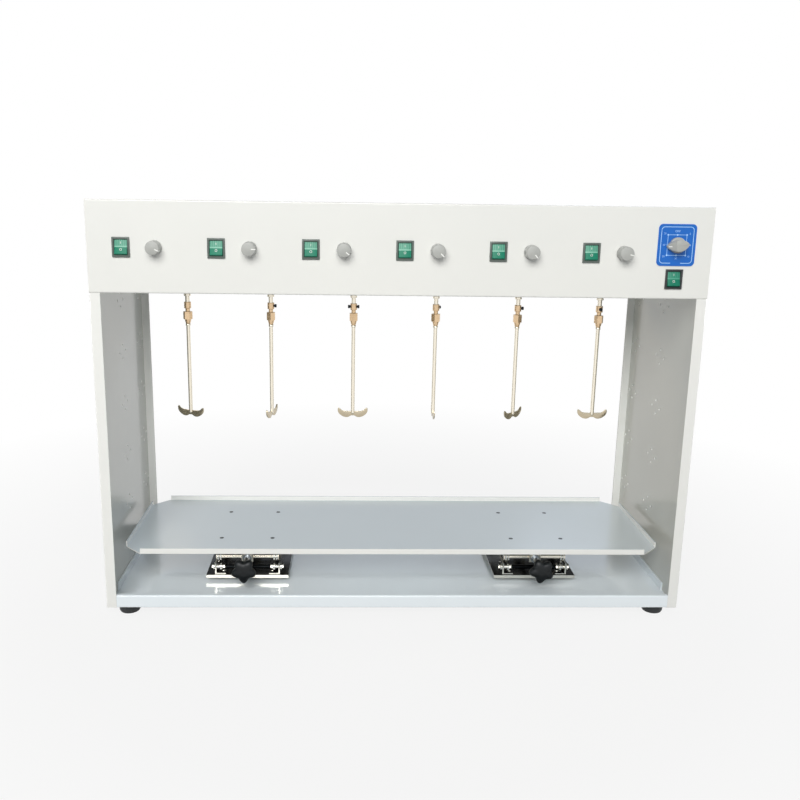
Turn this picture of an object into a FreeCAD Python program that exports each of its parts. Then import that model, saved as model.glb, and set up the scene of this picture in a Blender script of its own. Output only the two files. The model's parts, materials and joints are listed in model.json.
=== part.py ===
import FreeCAD, Part
import math
import os

import Sketcher
from FreeCAD import Placement, Rotation, Vector

# Six-place jar tester: a sheet steel frame with a control head, six stirring spindles and a
# tray that two double-scissor jacks raise together.
# Millimetres. X runs to the right, Y to the back and Z up. The origin is in the middle of the
# whole footprint, from the timer knob to the mains inlet, on the surface that the feet stand on.

os.makedirs("parts", exist_ok=True)
doc = FreeCAD.newDocument("jar_tester")
sheet = doc.addObject("Spreadsheet::Sheet", "dims")

STATIONS = 6

SIZES = [
    # Frame
    ("width", 750, "frame, outer width"),
    ("depth", 250, "frame, outer depth"),
    ("tall", 520, "frame height above the rubber feet"),
    ("gauge", 2, "frame sheet thickness"),
    ("bend", 1.6, "outer radius of the frame's bends"),
    ("lip", 13, "width of the side panels' front and back lips"),
    ("rail_tall", 17, "height of the base pan's front and back rails"),
    ("rail_hem", 6, "return at the top of those rails"),
    ("flange_tall", 13, "height of the base pan's side flanges"),
    ("flange_inset", 48, "from the frame's front to the side flanges"),
    ("seam", 0.1, "gap between two sheets that meet"),
    ("foot_tall", 15, "rubber foot height"),
    ("foot_top", 14, "rubber foot radius at its top"),
    ("foot_bottom", 12, "rubber foot radius at the bench, before rounding"),
    ("foot_round", 5, "rounding of a rubber foot's lower edge"),
    ("foot_inset_x", 24, "foot axis from the frame's side"),
    ("foot_inset_y", 24, "foot axis from the frame's front and back"),
    ("hole_radius", 1.9, "pattern holes in the side panels"),
    ("hole_reach_y", 14, "half width of a diamond of holes"),
    ("hole_reach_z", 9.5, "half height of a diamond of holes"),
    ("hole_column_inset", 22, "rear column of diamonds from the frame's back"),
    ("hole_column_step", 98, "from one column of diamonds to the next"),
    ("hole_row_low", 99, "lowest diamond above the frame's underside"),
    ("hole_row_high", 23, "highest diamond below the head"),
    ("hole_rows", 5, "rows of diamonds"),
    # Head
    ("head_tall", 110, "height of the control head"),
    ("return_tall", 12, "upturned return at the back of the head's floor"),
    ("slot_wide", 3.5, "cooling slot width"),
    ("slot_long", 34, "cooling slot length"),
    ("slot_step", 11, "from one cooling slot to the next"),
    ("slot_count", 8, "cooling slots in a group"),
    ("slot_group_inset", 225, "middle of a group of slots from the frame's side"),
    # Stations
    ("station_inset", 93.75, "first and last spindle axis from the frame's side"),
    ("station_y", 0, "spindle axes behind mid depth"),
    ("control_drop", 55.5, "switch and knob row below the frame's top"),
    ("switch_shift", 53, "switch to the left of its station"),
    ("knob_shift", 13.5, "speed knob to the left of its station"),
    ("timer_inset", 44, "timer axis from the frame's right side"),
    ("timer_drop", 45, "timer axis below the frame's top"),
    ("master_drop", 86, "master switch below the frame's top"),
    # Rocker switches
    ("bezel_wide", 21, "switch bezel width"),
    ("bezel_tall", 24, "switch bezel height"),
    ("bezel_thick", 2, "switch bezel in front of the panel"),
    ("switch_wide", 18.4, "switch housing width behind the panel"),
    ("switch_high", 21.4, "switch housing height behind the panel"),
    ("switch_deep", 22, "switch housing depth behind the panel"),
    ("cutout_gap", 0.1, "panel cut-out round a switch housing"),
    ("rocker_wide", 14, "rocker button width"),
    ("rocker_radius", 8.2, "rocker button radius about its pivot"),
    ("rocker_gap", 0.3, "between rocker and bezel, all round"),
    ("rocker_dip", 3.6, "rocker's middle in front of its pivot"),
    ("rocker_rim", 4.3, "rocker's ends in front of its pivot"),
    ("rocker_back", 3, "rocker's flat back behind its pivot"),
    ("rocker_pivot", 2.5, "rocker pivot behind the panel face"),
    ("rocker_pin", 1.5, "rocker pivot pin radius"),
    ("rocker_tilt", 11, "rocker tilt each side of level"),
    # Knobs
    ("knob_radius", 8.8, "speed knob radius at the panel"),
    ("knob_top", 8.3, "speed knob radius at its face"),
    ("knob_deep", 15, "speed knob depth"),
    ("knob_edge", 0.6, "bevel round a knob's face"),
    ("knob_gap", 0.8, "between a knob and the panel"),
    ("shaft_radius", 3, "control shaft radius"),
    ("shaft_deep", 9, "control shaft length in a knob"),
    ("bush_radius", 4, "control bush radius in the panel"),
    ("control_radius", 9, "control body radius behind the panel"),
    ("control_deep", 12, "control body depth behind the panel"),
    ("pointer_wide", 1.5, "pointer groove width"),
    ("pointer_deep", 0.6, "pointer groove depth"),
    ("pointer_start", 3.2, "pointer groove's inner end from the knob's axis"),
    ("timer_skirt", 9.4, "timer knob skirt radius"),
    ("timer_skirt_deep", 4.5, "timer knob skirt depth"),
    ("timer_grip", 6.8, "half width of the timer knob's pointed grip"),
    ("timer_tip", 13, "pointer end of the grip from its axis"),
    ("timer_tail", 9.7, "other end of the grip from its axis"),
    ("timer_face", 5.5, "flat face of the grip from its axis, at the pointer end"),
    ("timer_deep", 17, "timer knob depth"),
    ("dial_wide", 50, "timer dial plate, square"),
    ("dial_thick", 1, "timer dial plate thickness"),
    ("dial_corner", 6, "timer dial plate corner radius"),
    # Spindles and stirrers
    ("rod_radius", 2.25, "stirrer rod radius"),
    ("rod_top", 5, "rod's upper end below the head's underside"),
    ("blade_drop", 184, "blade's lower edge below the head's underside"),
    ("blade_wide", 42, "blade width"),
    ("blade_tall", 13.4, "blade height at its tips"),
    ("blade_thick", 1.5, "blade thickness"),
    ("blade_round", 10.5, "radius of the blade's lower corners"),
    ("scoop_radius", 9, "radius of the two scoops in the blade's upper edge"),
    ("scoop_x", 11.6, "scoop centres from the rod"),
    ("scoop_z", 18, "scoop centres above the blade's lower edge"),
    ("notch_radius", 2, "notch under the rod"),
    ("hub_radius", 3.8, "hub radius at the blade"),
    ("hub_tall", 10, "hub height"),
    ("hub_rise", 7.5, "hub's lower end above the blade's lower edge"),
    ("spindle_radius", 3.5, "spindle radius"),
    ("spindle_in", 24, "spindle inside the drive motor"),
    ("collar_z", 12, "steel collar below the head's underside"),
    ("collar_radius", 4.7, "steel collar radius"),
    ("collar_tall", 2, "steel collar height"),
    ("ring_z", 20.5, "brass ring below the head's underside"),
    ("ring_radius", 4.2, "brass ring radius"),
    ("ring_tall", 8.7, "brass ring height"),
    ("neck_radius", 3.3, "chuck neck radius"),
    ("nut_z", 34.6, "hexagon nut below the head's underside"),
    ("nut_flats", 10, "hexagon nut across its flats"),
    ("nut_tall", 12.2, "hexagon nut height"),
    ("nose_top", 4.4, "chuck nose radius at the nut"),
    ("nose_tip", 2.8, "chuck nose radius at its tip"),
    ("nose_tall", 7.5, "chuck nose height"),
    ("screw_radius", 1.5, "chuck thumb screw radius"),
    ("screw_reach", 8, "chuck thumb screw head from the axis"),
    ("screw_head", 2.2, "chuck thumb screw head radius"),
    ("spindle_hole", 5, "hole round a spindle in the head's floor"),
    ("motor_radius", 18.5, "drive motor radius"),
    ("motor_tall", 50, "drive motor height"),
    # Fits
    ("running_fit", 0.06, "radial clearance of pins, shafts and rods"),
    ("side_gap", 0.3, "clearance beside a turning or sliding face"),
    # Tray
    ("tray_side_gap", 13, "between the tray and a side panel"),
    ("tray_front_gap", 28, "tray behind the frame's front"),
    ("tray_back_gap", 18, "tray before the frame's back"),
    ("tray_gauge", 1.5, "tray sheet thickness"),
    ("tray_lip", 8, "tray lip height"),
    ("tray_bend", 1.2, "outer radius of the tray's bends"),
    ("tray_cut", 24, "corner cut of the tray"),
    ("tray_screw_x", 35, "tray screws beside a jack's centre"),
    ("tray_screw_end", 3.4, "tray screws from a jack rail's end"),
    ("screw_shank", 1.6, "tray screw shank radius"),
    ("screw_flush", 3, "tray screw head radius"),
    # Jacks
    ("jack_inset", 159, "jack centre from the tray's end"),
    ("jack_wide", 114, "jack plate width"),
    ("jack_edge", 2, "jack plate beyond its rails, front and back"),
    ("jack_gauge", 2, "jack plate and rail thickness"),
    ("skirt", 4.4, "turned edge of the jack's lower plate"),
    ("pad_tall", 4.5, "rubber pad below that edge"),
    ("pad_radius", 6, "rubber pad radius"),
    ("pad_inset", 16, "rubber pad from the plate's edges"),
    ("rail_out", 45, "outer face of a jack rail from its centre"),
    ("rail_foot", 15, "foot width of a jack rail"),
    ("rail_high", 17, "height of a jack rail"),
    ("rail_end", 6.6, "jack rail beyond its end pivots"),
    ("pivot_rise", 9, "pivot axis above its jack plate"),
    ("arm_span", 94, "arm length between end pivots"),
    ("arm_radius", 6, "arm half width and end radius"),
    ("arm_gauge", 2, "arm thickness"),
    ("arm_gap", 1.5, "between rail, outer arm and inner arm"),
    ("pin_radius", 3, "jack pin radius"),
    ("pin_head", 5, "jack pin head radius"),
    ("pin_head_thick", 2, "jack pin head thickness"),
    ("rivet_head_thick", 1, "head thickness of the arms' middle rivets"),
    ("bar_head_thick", 1.5, "head thickness of the cross bars"),
    ("rest_angle", 9.6, "arm angle with the tray down"),
    ("lift_angle", 27, "how far the arms turn to raise the tray"),
    ("block_wide", 16, "screw block, along the bar"),
    ("block_deep", 12, "screw block, along the screw"),
    ("block_tall", 12, "screw block height"),
    ("thread_radius", 4, "lead screw radius"),
    ("thread_over", 10, "lead screw behind its nut bar"),
    ("stop_radius", 6.2, "collar on the lead screw"),
    ("stop_thick", 2.5, "collar thickness"),
    ("knob_reach", 48, "star knob's middle in front of the screw bar"),
    ("star_core", 12.5, "star knob core radius"),
    ("star_lobe", 5.2, "star knob lobe radius"),
    ("star_reach", 12, "lobe centres from the knob's axis"),
    ("star_thick", 14, "star knob thickness"),
    ("star_round", 1.4, "rounding of the star knob's edges"),
    ("star_hub", 7.5, "star knob hub radius"),
    ("star_hub_long", 9, "star knob hub length"),
    ("star_lobes", 5, "lobes on a star knob"),
    # Power inlet, on the back
    ("inlet_inset", 125, "inlet from the frame's left side, seen from the front"),
    ("inlet_wide", 31, "inlet flange width"),
    ("inlet_tall", 24, "inlet flange height"),
    ("inlet_thick", 2.4, "inlet flange thickness"),
    ("inlet_body_wide", 27, "inlet body width"),
    ("inlet_body_tall", 19.8, "inlet body height"),
    ("inlet_deep", 24, "inlet body depth"),
    ("socket_wide", 24.2, "inlet recess width"),
    ("socket_tall", 16.2, "inlet recess height"),
    ("socket_deep", 17, "inlet recess depth"),
    ("prong_wide", 2, "inlet prong width"),
    ("prong_tall", 4, "inlet prong height"),
    ("prong_long", 14, "inlet prong length"),
    ("prong_step", 7, "from one prong to the next"),
    ("prong_shift", 1.5, "middle prong above and the others below the inlet's middle"),
]

for row, (alias, size, note) in enumerate(SIZES, start=1):
    sheet.set(f"A{row}", note)
    sheet.set(f"B{row}", str(size))
    sheet.setAlias(f"B{row}", alias)
doc.recompute()


def num(expression):
    """Value of an expression in the sheet's aliases."""
    return float(sheet.evalExpression(str(expression).replace("dims.", "")))


# Derived places, as expressions in the sheet's aliases

MIDDLE = "((dims.timer_deep - dims.inlet_thick) / 2)"
FRONT = f"({MIDDLE} - dims.depth / 2)"
BACK = f"({MIDDLE} + dims.depth / 2)"
STATION_Y = f"({MIDDLE} + dims.station_y)"
PITCH = f"((dims.width - 2 * dims.station_inset) / {STATIONS - 1})"
TIMER_X = "(dims.width / 2 - dims.timer_inset)"
INLET_X = "(dims.inlet_inset - dims.width / 2)"
TRAY_HALF = "(dims.width / 2 - dims.gauge - dims.tray_side_gap)"
TRAY_DEEP = "(dims.depth - dims.tray_front_gap - dims.tray_back_gap)"
TRAY_Y = f"({MIDDLE} + (dims.tray_front_gap - dims.tray_back_gap) / 2)"
HEAD_Z = "(dims.tall - dims.head_tall)"
FLOOR_Z = "(dims.foot_tall + dims.gauge)"
PLATE_Z = f"({FLOOR_Z} + dims.pad_tall + dims.skirt)"
LOW_Z = f"({PLATE_Z} + dims.pivot_rise)"
RISE = "(dims.arm_span * sin(dims.rest_angle))"
REACH = "(dims.arm_span * cos(dims.rest_angle))"
RAIL_HALF = f"({REACH} / 2 + dims.rail_end)"
PLATE_HALF = f"({RAIL_HALF} + dims.jack_edge)"
JACK_X = f"({TRAY_HALF} - dims.jack_inset)"
TRAVEL = "(dims.arm_span * (cos(dims.rest_angle) - cos(dims.rest_angle + dims.lift_angle)))"
TOP_PLATE_Z = f"({LOW_Z} + 2 * {RISE} + dims.pivot_rise)"
TRAY_Z = f"({TOP_PLATE_Z} + dims.jack_gauge)"
OUTER_ARM = "(dims.rail_out - dims.jack_gauge - dims.arm_gap - dims.arm_gauge)"
INNER_ARM = f"({OUTER_ARM} - dims.arm_gap - dims.arm_gauge)"
PIN_HOLE = "(dims.pin_radius + dims.running_fit)"

nodes = []


# Sketch and feature helpers

def keep(thing):
    """Name a finished sub-part after its object and put it on the list of nodes."""
    thing.Label = thing.Name
    nodes.append(thing)
    return thing


def place(thing, x="0", y="0", z="0", turn=None):
    """Put a sub-part at a place tied to the sheet."""
    thing.Placement = Placement(Vector(num(x), num(y), num(z)), turn or Rotation())
    thing.setExpression(".Placement.Base.x", x)
    thing.setExpression(".Placement.Base.y", y)
    thing.setExpression(".Placement.Base.z", z)
    return thing


def new_body(name, x="0", y="0", z="0", turn=None):
    return place(doc.addObject("PartDesign::Body", name), x, y, z, turn)


def in_frame(name):
    """A body whose own zero is at the frame's front and underside."""
    return new_body(name, y=FRONT, z="dims.foot_tall")


def sketch_on(body, plane, start="0"):
    """A sketch on one of a body's own planes, at a place along the axis across that plane."""
    sketch = body.newObject("Sketcher::SketchObject", body.Name + "_sketch")
    support = next(f for f in body.Origin.OriginFeatures if f.Role == plane + "_Plane")
    sketch.AttachmentSupport = (support, "")
    sketch.MapMode = "FlatFace"
    sign = "-" if plane == "XZ" else ""
    sketch.setExpression(".AttachmentOffset.Base.z", f"{sign}({start})")
    return sketch


def tie(sketch, kind, place_ids, expression):
    index = sketch.addConstraint(Sketcher.Constraint(kind, *place_ids, num(expression)))
    sketch.setExpression(f"Constraints[{index}]", expression)


def tie_point(sketch, curve, end, x, y):
    tie(sketch, "DistanceX", (-1, 1, curve, end), x)
    tie(sketch, "DistanceY", (-1, 1, curve, end), y)


def polygon(points):
    def draw(sketch):
        corners = [Vector(num(x), num(y), 0) for x, y in points]
        first = sketch.GeometryCount
        count = len(points)
        for i in range(count):
            sketch.addGeometry(Part.LineSegment(corners[i], corners[(i + 1) % count]), False)
        for i in range(count):
            following = first + (i + 1) % count
            sketch.addConstraint(Sketcher.Constraint("Coincident", first + i, 2, following, 1))
        for i, (x, y) in enumerate(points):
            tie_point(sketch, first + i, 1, x, y)
    return draw


def rectangle(x_low, x_high, y_low, y_high):
    return polygon([(x_low, y_low), (x_high, y_low), (x_high, y_high), (x_low, y_high)])


def circle(x, y, radius):
    def draw(sketch):
        centre = Vector(num(x), num(y), 0)
        ring = sketch.addGeometry(Part.Circle(centre, Vector(0, 0, 1), num(radius)), False)
        tie_point(sketch, ring, 3, x, y)
        tie(sketch, "Radius", (ring,), radius)
    return draw


def stadium(x_low, x_high, y, radius):
    """A bar with round ends along the sketch's first axis."""
    def draw(sketch):
        left = Vector(num(x_low), num(y), 0)
        right = Vector(num(x_high), num(y), 0)
        up = Vector(0, num(radius), 0)
        axis = Vector(0, 0, 1)
        quarter = math.pi / 2
        near = sketch.addGeometry(
            Part.ArcOfCircle(Part.Circle(left, axis, up.y), quarter, 3 * quarter), False)
        low = sketch.addGeometry(Part.LineSegment(left - up, right - up), False)
        far = sketch.addGeometry(
            Part.ArcOfCircle(Part.Circle(right, axis, up.y), -quarter, quarter), False)
        high = sketch.addGeometry(Part.LineSegment(right + up, left + up), False)
        for one, other in ((near, low), (low, far), (far, high), (high, near)):
            sketch.addConstraint(Sketcher.Constraint("Tangent", one, 2, other, 1))
        tie_point(sketch, near, 3, x_low, y)
        tie_point(sketch, far, 3, x_high, y)
        tie(sketch, "Radius", (near,), radius)
    return draw


def feature(body, kind, plane, start, length, shapes, forward):
    sketch = sketch_on(body, plane, start)
    for draw in shapes:
        draw(sketch)
    step = body.newObject("PartDesign::" + kind, f"{body.Name}_{kind.lower()}")
    step.Profile = sketch
    step.setExpression("Length", length)
    step.Reversed = forward
    return step


def pad(body, plane, start, length, *shapes):
    """Add material from start towards the positive axis."""
    return feature(body, "Pad", plane, start, length, shapes, plane == "XZ")


def pocket(body, plane, start, length, *shapes):
    """Take material away from start towards the positive axis."""
    return feature(body, "Pocket", plane, start, length, shapes, plane != "XZ")


def revolve(body, plane, points):
    """Turn an outline about the sketch's vertical axis."""
    sketch = sketch_on(body, plane)
    polygon(points)(sketch)
    turned = body.newObject("PartDesign::Revolution", body.Name + "_revolution")
    turned.Profile = sketch
    turned.ReferenceAxis = (sketch, ["V_Axis"])
    turned.Angle = 360
    return turned


def round_edges(body, base, radius, chosen):
    """Round the chosen edges of the last feature. A closed edge has no direction."""
    doc.recompute()
    names = []
    for i, edge in enumerate(base.Shape.Edges, start=1):
        run = edge.Vertexes[-1].Point - edge.Vertexes[0].Point
        if run.Length > 0:
            run.normalize()
        if chosen(edge.CenterOfMass, run):
            names.append(f"Edge{i}")
    fillet = body.newObject("PartDesign::Fillet", body.Name + "_fillet")
    fillet.Base = (base, names)
    fillet.setExpression("Radius", radius)
    return fillet


def near(value, target):
    return abs(value - target) < 0.01


def primitive(kind, name, sizes, x="0", y="0", z="0", turn=None):
    solid = doc.addObject("Part::" + kind, name)
    for key, expression in sizes.items():
        solid.setExpression(key, expression)
    return place(solid, x, y, z, turn)


def group_of(name, members):
    """Equal pieces that one node carries."""
    group = doc.addObject("Part::Compound", name)
    group.Links = members
    return keep(group)


FACING_BACK = Rotation(Vector(1, 0, 0), -90)


def station_x(index):
    return f"(({index} - {STATIONS - 1} / 2) * {PITCH})"


# Frame

def side_panel(name, side):
    """C-section panel: a web with front and back lips below the head, and bare beside the head."""
    body = in_frame(name)
    outer = f"({side} * dims.width / 2)"
    inner = f"({side} * (dims.width / 2 - dims.gauge))"
    tip = f"({side} * (dims.width / 2 - dims.lip))"
    section = polygon([
        (outer, "0"), (tip, "0"), (tip, "dims.gauge"), (inner, "dims.gauge"),
        (inner, "dims.depth - dims.gauge"), (tip, "dims.depth - dims.gauge"),
        (tip, "dims.depth"), (outer, "dims.depth")])
    column = pad(body, "XY", "0", f"{HEAD_Z} - dims.seam", section)
    face_x, deep = num(outer), num("dims.depth")
    round_edges(body, column, "dims.bend", lambda middle, run: (
        near(abs(run.z), 1) and near(middle.x, face_x)
        and (near(middle.y, 0) or near(middle.y, deep))))
    cheek = rectangle(outer, inner, "dims.gauge + dims.seam", "dims.depth - dims.gauge - dims.seam")
    low = f"({HEAD_Z} - dims.seam)"
    pad(body, "XY", low, f"dims.tall - dims.gauge - dims.seam - {low}", cheek)
    diamonds = []
    row_step = f"(({HEAD_Z} - dims.hole_row_low - dims.hole_row_high) / (dims.hole_rows - 1))"
    for column_number in range(2):
        y = f"(dims.depth - dims.hole_column_inset - {column_number} * dims.hole_column_step)"
        for row_number in range(int(num("dims.hole_rows"))):
            z = f"(dims.hole_row_low + {row_number} * {row_step})"
            diamonds += [
                circle(f"{y} - dims.hole_reach_y", z, "dims.hole_radius"),
                circle(f"{y} + dims.hole_reach_y", z, "dims.hole_radius"),
                circle(y, f"{z} - dims.hole_reach_z", "dims.hole_radius"),
                circle(y, f"{z} + dims.hole_reach_z", "dims.hole_radius")]
    web = outer if side < 0 else inner
    pocket(body, "YZ", web, "dims.gauge", *diamonds)
    return keep(body)


def base_pan():
    """Floor with hemmed rails between the lips and low flanges beside the side panels."""
    body = in_frame("base_pan")
    half = "(dims.width / 2 - dims.lip - dims.seam)"
    section = polygon([
        ("0", "0"), ("0", "dims.rail_tall"), ("dims.rail_hem", "dims.rail_tall"),
        ("dims.rail_hem", "dims.rail_tall - dims.gauge"),
        ("dims.gauge", "dims.rail_tall - dims.gauge"), ("dims.gauge", "dims.gauge"),
        ("dims.depth - dims.gauge", "dims.gauge"),
        ("dims.depth - dims.gauge", "dims.rail_tall - dims.gauge"),
        ("dims.depth - dims.rail_hem", "dims.rail_tall - dims.gauge"),
        ("dims.depth - dims.rail_hem", "dims.rail_tall"),
        ("dims.depth", "dims.rail_tall"), ("dims.depth", "0")])
    trough = pad(body, "YZ", f"-{half}", f"2 * {half}", section)
    deep, tall = num("dims.depth"), num("dims.rail_tall")
    round_edges(body, trough, "dims.bend", lambda middle, run: (
        near(abs(run.x), 1) and (near(middle.y, 0) or near(middle.y, deep))
        and (near(middle.z, 0) or near(middle.z, tall))))
    edge = "(dims.width / 2 - dims.gauge - dims.seam)"
    behind = "(dims.gauge + dims.seam)"
    pad(body, "XY", "0", "dims.gauge",
        rectangle(f"-{edge}", edge, behind, f"dims.depth - {behind}"))
    for side in (-1, 1):
        flange = rectangle(f"{side} * {edge}", f"{side} * ({edge} - dims.gauge)",
                           "dims.flange_inset", "dims.depth - dims.flange_inset")
        pad(body, "XY", "0", "dims.flange_tall", flange)
    return keep(body)


def head_shell():
    """Front and top in one bent sheet, with the head's floor between the side panels."""
    body = in_frame("head_shell")
    cover = polygon([
        ("0", HEAD_Z), ("0", "dims.tall"), ("dims.depth", "dims.tall"),
        ("dims.depth", "dims.tall - dims.gauge"), ("dims.gauge", "dims.tall - dims.gauge"),
        ("dims.gauge", HEAD_Z)])
    hood = pad(body, "YZ", "-dims.width / 2", "dims.width", cover)
    top, low = num("dims.tall"), num(HEAD_Z)
    round_edges(body, hood, "dims.bend", lambda middle, run: (
        near(abs(run.x), 1) and near(middle.y, 0)
        and (near(middle.z, top) or near(middle.z, low))))
    half = "(dims.width / 2 - dims.gauge - dims.seam)"
    rear = "(dims.depth - dims.gauge - dims.seam)"
    floor = polygon([
        ("dims.gauge / 2", HEAD_Z), (rear, HEAD_Z), (rear, f"{HEAD_Z} + dims.return_tall"),
        (f"{rear} - dims.gauge", f"{HEAD_Z} + dims.return_tall"),
        (f"{rear} - dims.gauge", f"{HEAD_Z} + dims.gauge"),
        ("dims.gauge / 2", f"{HEAD_Z} + dims.gauge")])
    pad(body, "YZ", f"-{half}", f"2 * {half}", floor)
    holes = [circle(station_x(i), "dims.depth / 2 + dims.station_y", "dims.spindle_hole")
             for i in range(STATIONS)]
    pocket(body, "XY", HEAD_Z, "dims.gauge", *holes)
    openings = []
    for x, z in switch_places():
        openings.append(rectangle(
            f"{x} - dims.switch_wide / 2 - dims.cutout_gap",
            f"{x} + dims.switch_wide / 2 + dims.cutout_gap",
            f"{z} - dims.switch_high / 2 - dims.cutout_gap",
            f"{z} + dims.switch_high / 2 + dims.cutout_gap"))
    for x, z in knob_places():
        openings.append(circle(x, z, "dims.bush_radius + dims.running_fit"))
    pocket(body, "XZ", "0", "dims.gauge", *openings)
    return keep(body)


def head_rear_cover():
    """Flat cover with two groups of cooling slots and the inlet's cut-out."""
    body = in_frame("head_rear_cover")
    low = HEAD_Z
    pad(body, "XZ", "dims.depth - dims.gauge", "dims.gauge", rectangle(
        "-dims.width / 2", "dims.width / 2", low, "dims.tall - dims.gauge - dims.seam"))
    cuts = []
    middle = f"({low} + dims.head_tall / 2)"
    group_x = "(dims.width / 2 - dims.slot_group_inset)"
    count = int(num("dims.slot_count"))
    for side in (-1, 1):
        for i in range(count):
            x = f"({side} * {group_x} + ({i} - {count - 1} / 2) * dims.slot_step)"
            cuts.append(rectangle(f"{x} - dims.slot_wide / 2", f"{x} + dims.slot_wide / 2",
                                  f"{middle} - dims.slot_long / 2",
                                  f"{middle} + dims.slot_long / 2"))
    cuts.append(rectangle(f"{INLET_X} - dims.inlet_body_wide / 2 - dims.cutout_gap",
                          f"{INLET_X} + dims.inlet_body_wide / 2 + dims.cutout_gap",
                          f"{middle} - dims.inlet_body_tall / 2 - dims.cutout_gap",
                          f"{middle} + dims.inlet_body_tall / 2 + dims.cutout_gap"))
    pocket(body, "XZ", "dims.depth - dims.gauge", "dims.gauge", *cuts)
    return keep(body)


def rubber_foot(x, y):
    """Moulded foot, wide at the frame and rounded at the bench."""
    body = new_body("rubber_foot", x, y)
    cone = revolve(body, "XZ", [
        ("0", "0"), ("dims.foot_bottom", "0"), ("dims.foot_top", "dims.foot_tall"),
        ("0", "dims.foot_tall")])
    round_edges(body, cone, "dims.foot_round",
                lambda middle, run: run.Length == 0 and near(middle.z, 0))
    return body


def rubber_feet():
    feet = []
    for x_side in (-1, 1):
        for y_side in (-1, 1):
            feet.append(rubber_foot(
                f"{x_side} * (dims.width / 2 - dims.foot_inset_x)",
                f"{MIDDLE} + {y_side} * (dims.depth / 2 - dims.foot_inset_y)"))
    return group_of("rubber_feet", feet)


# Controls

def control_z(drop):
    return f"(dims.tall - dims.{drop})"


def switch_places():
    """Centres of the six station switches and of the master switch, on the front panel."""
    row = control_z("control_drop")
    stations = [(f"({station_x(i)} - dims.switch_shift)", row) for i in range(STATIONS)]
    return stations + [(TIMER_X, control_z("master_drop"))]


def knob_places():
    """Centres of the six speed knobs and of the timer knob, on the front panel."""
    row = control_z("control_drop")
    stations = [(f"({station_x(i)} - dims.knob_shift)", row) for i in range(STATIONS)]
    return stations + [(TIMER_X, control_z("timer_drop"))]


def on_panel(name, x, z, turn=None):
    """A body whose own zero is a place on the front panel's face."""
    return new_body(name, x, FRONT, f"dims.foot_tall + {z}", turn)


def switch_housing(x, z):
    body = on_panel("switch_housing", x, z)
    pad(body, "XZ", "-dims.bezel_thick", "dims.bezel_thick", rectangle(
        "-dims.bezel_wide / 2", "dims.bezel_wide / 2", "-dims.bezel_tall / 2", "dims.bezel_tall / 2"))
    pad(body, "XZ", "0", "dims.switch_deep", rectangle(
        "-dims.switch_wide / 2", "dims.switch_wide / 2",
        "-dims.switch_high / 2", "dims.switch_high / 2"))
    mouth_x = "(dims.rocker_wide / 2 + dims.rocker_gap)"
    mouth_z = "(dims.rocker_radius + dims.rocker_gap)"
    pocket(body, "XZ", "-dims.bezel_thick",
           "dims.bezel_thick + dims.rocker_pivot + dims.rocker_radius + dims.rocker_gap",
           rectangle(f"-{mouth_x}", mouth_x, f"-{mouth_z}", mouth_z))
    pivot_half = "(dims.switch_wide / 2 - 2 * dims.rocker_gap)"
    pocket(body, "YZ", f"-{pivot_half}", f"2 * {pivot_half}",
           circle("dims.rocker_pivot", "0", "dims.rocker_pin + dims.running_fit"))
    return body


def rocker(name, x, z):
    """Button that rocks in its bezel: a round back with a shallow V in front, upper half pressed."""
    body = new_body(name, x, f"{FRONT} + dims.rocker_pivot", f"dims.foot_tall + {z}",
                    Rotation(Vector(1, 0, 0), -num("dims.rocker_tilt")))
    half = "(dims.rocker_wide / 2)"
    pad(body, "YZ", f"-{half}", f"2 * {half}", circle("0", "0", "dims.rocker_radius"))
    far = "(2 * dims.rocker_radius)"
    pocket(body, "YZ", f"-{half}", f"2 * {half}", polygon([
        ("-dims.rocker_dip", "0"), ("-dims.rocker_rim", far), (f"-{far}", far),
        (f"-{far}", f"-{far}"), ("-dims.rocker_rim", f"-{far}")]))
    pocket(body, "YZ", f"-{half}", f"2 * {half}",
           rectangle("dims.rocker_back", far, f"-{far}", far))
    pin_half = "(dims.switch_wide / 2 - 3 * dims.rocker_gap)"
    pad(body, "YZ", f"-{pin_half}", f"2 * {pin_half}", circle("0", "0", "dims.rocker_pin"))
    return keep(body)


def control_spindles():
    """Potentiometers and timer: body behind the panel, bush through it, shaft into the knob."""
    controls = []
    for x, z in knob_places():
        height = f"dims.foot_tall + {z}"
        case = primitive("Cylinder", "control_case",
                         {"Radius": "dims.control_radius", "Height": "dims.control_deep"},
                         x, f"{FRONT} + dims.gauge", height, FACING_BACK)
        bush = primitive("Cylinder", "control_bush",
                         {"Radius": "dims.bush_radius", "Height": "dims.gauge"},
                         x, FRONT, height, FACING_BACK)
        shaft = primitive("Cylinder", "control_shaft",
                          {"Radius": "dims.shaft_radius", "Height": "dims.shaft_deep"},
                          x, f"{FRONT} - dims.shaft_deep", height, FACING_BACK)
        control = doc.addObject("Part::MultiFuse", "control")
        control.Shapes = [case, bush, shaft]
        controls.append(control)
    return group_of("control_spindles", controls)


SHAFT_BORE = "(dims.shaft_radius + dims.running_fit)"


def speed_knob(name, x, z, pointer):
    """Turned knob with a bevelled face and a pointer groove, which is at three o'clock unturned."""
    body = on_panel(name, x, z, Rotation(Vector(0, 1, 0), pointer))
    revolve(body, "XY", [
        (SHAFT_BORE, "-dims.knob_gap"), ("dims.knob_radius", "-dims.knob_gap"),
        ("dims.knob_top", "-dims.knob_deep + dims.knob_edge"),
        ("dims.knob_top - dims.knob_edge", "-dims.knob_deep"), ("0", "-dims.knob_deep"),
        ("0", "-dims.shaft_deep - dims.side_gap"),
        (SHAFT_BORE, "-dims.shaft_deep - dims.side_gap")])
    pocket(body, "XZ", "-dims.knob_deep", "dims.pointer_deep", rectangle(
        "dims.pointer_start", "dims.knob_radius", "-dims.pointer_wide / 2", "dims.pointer_wide / 2"))
    return keep(body)


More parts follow.
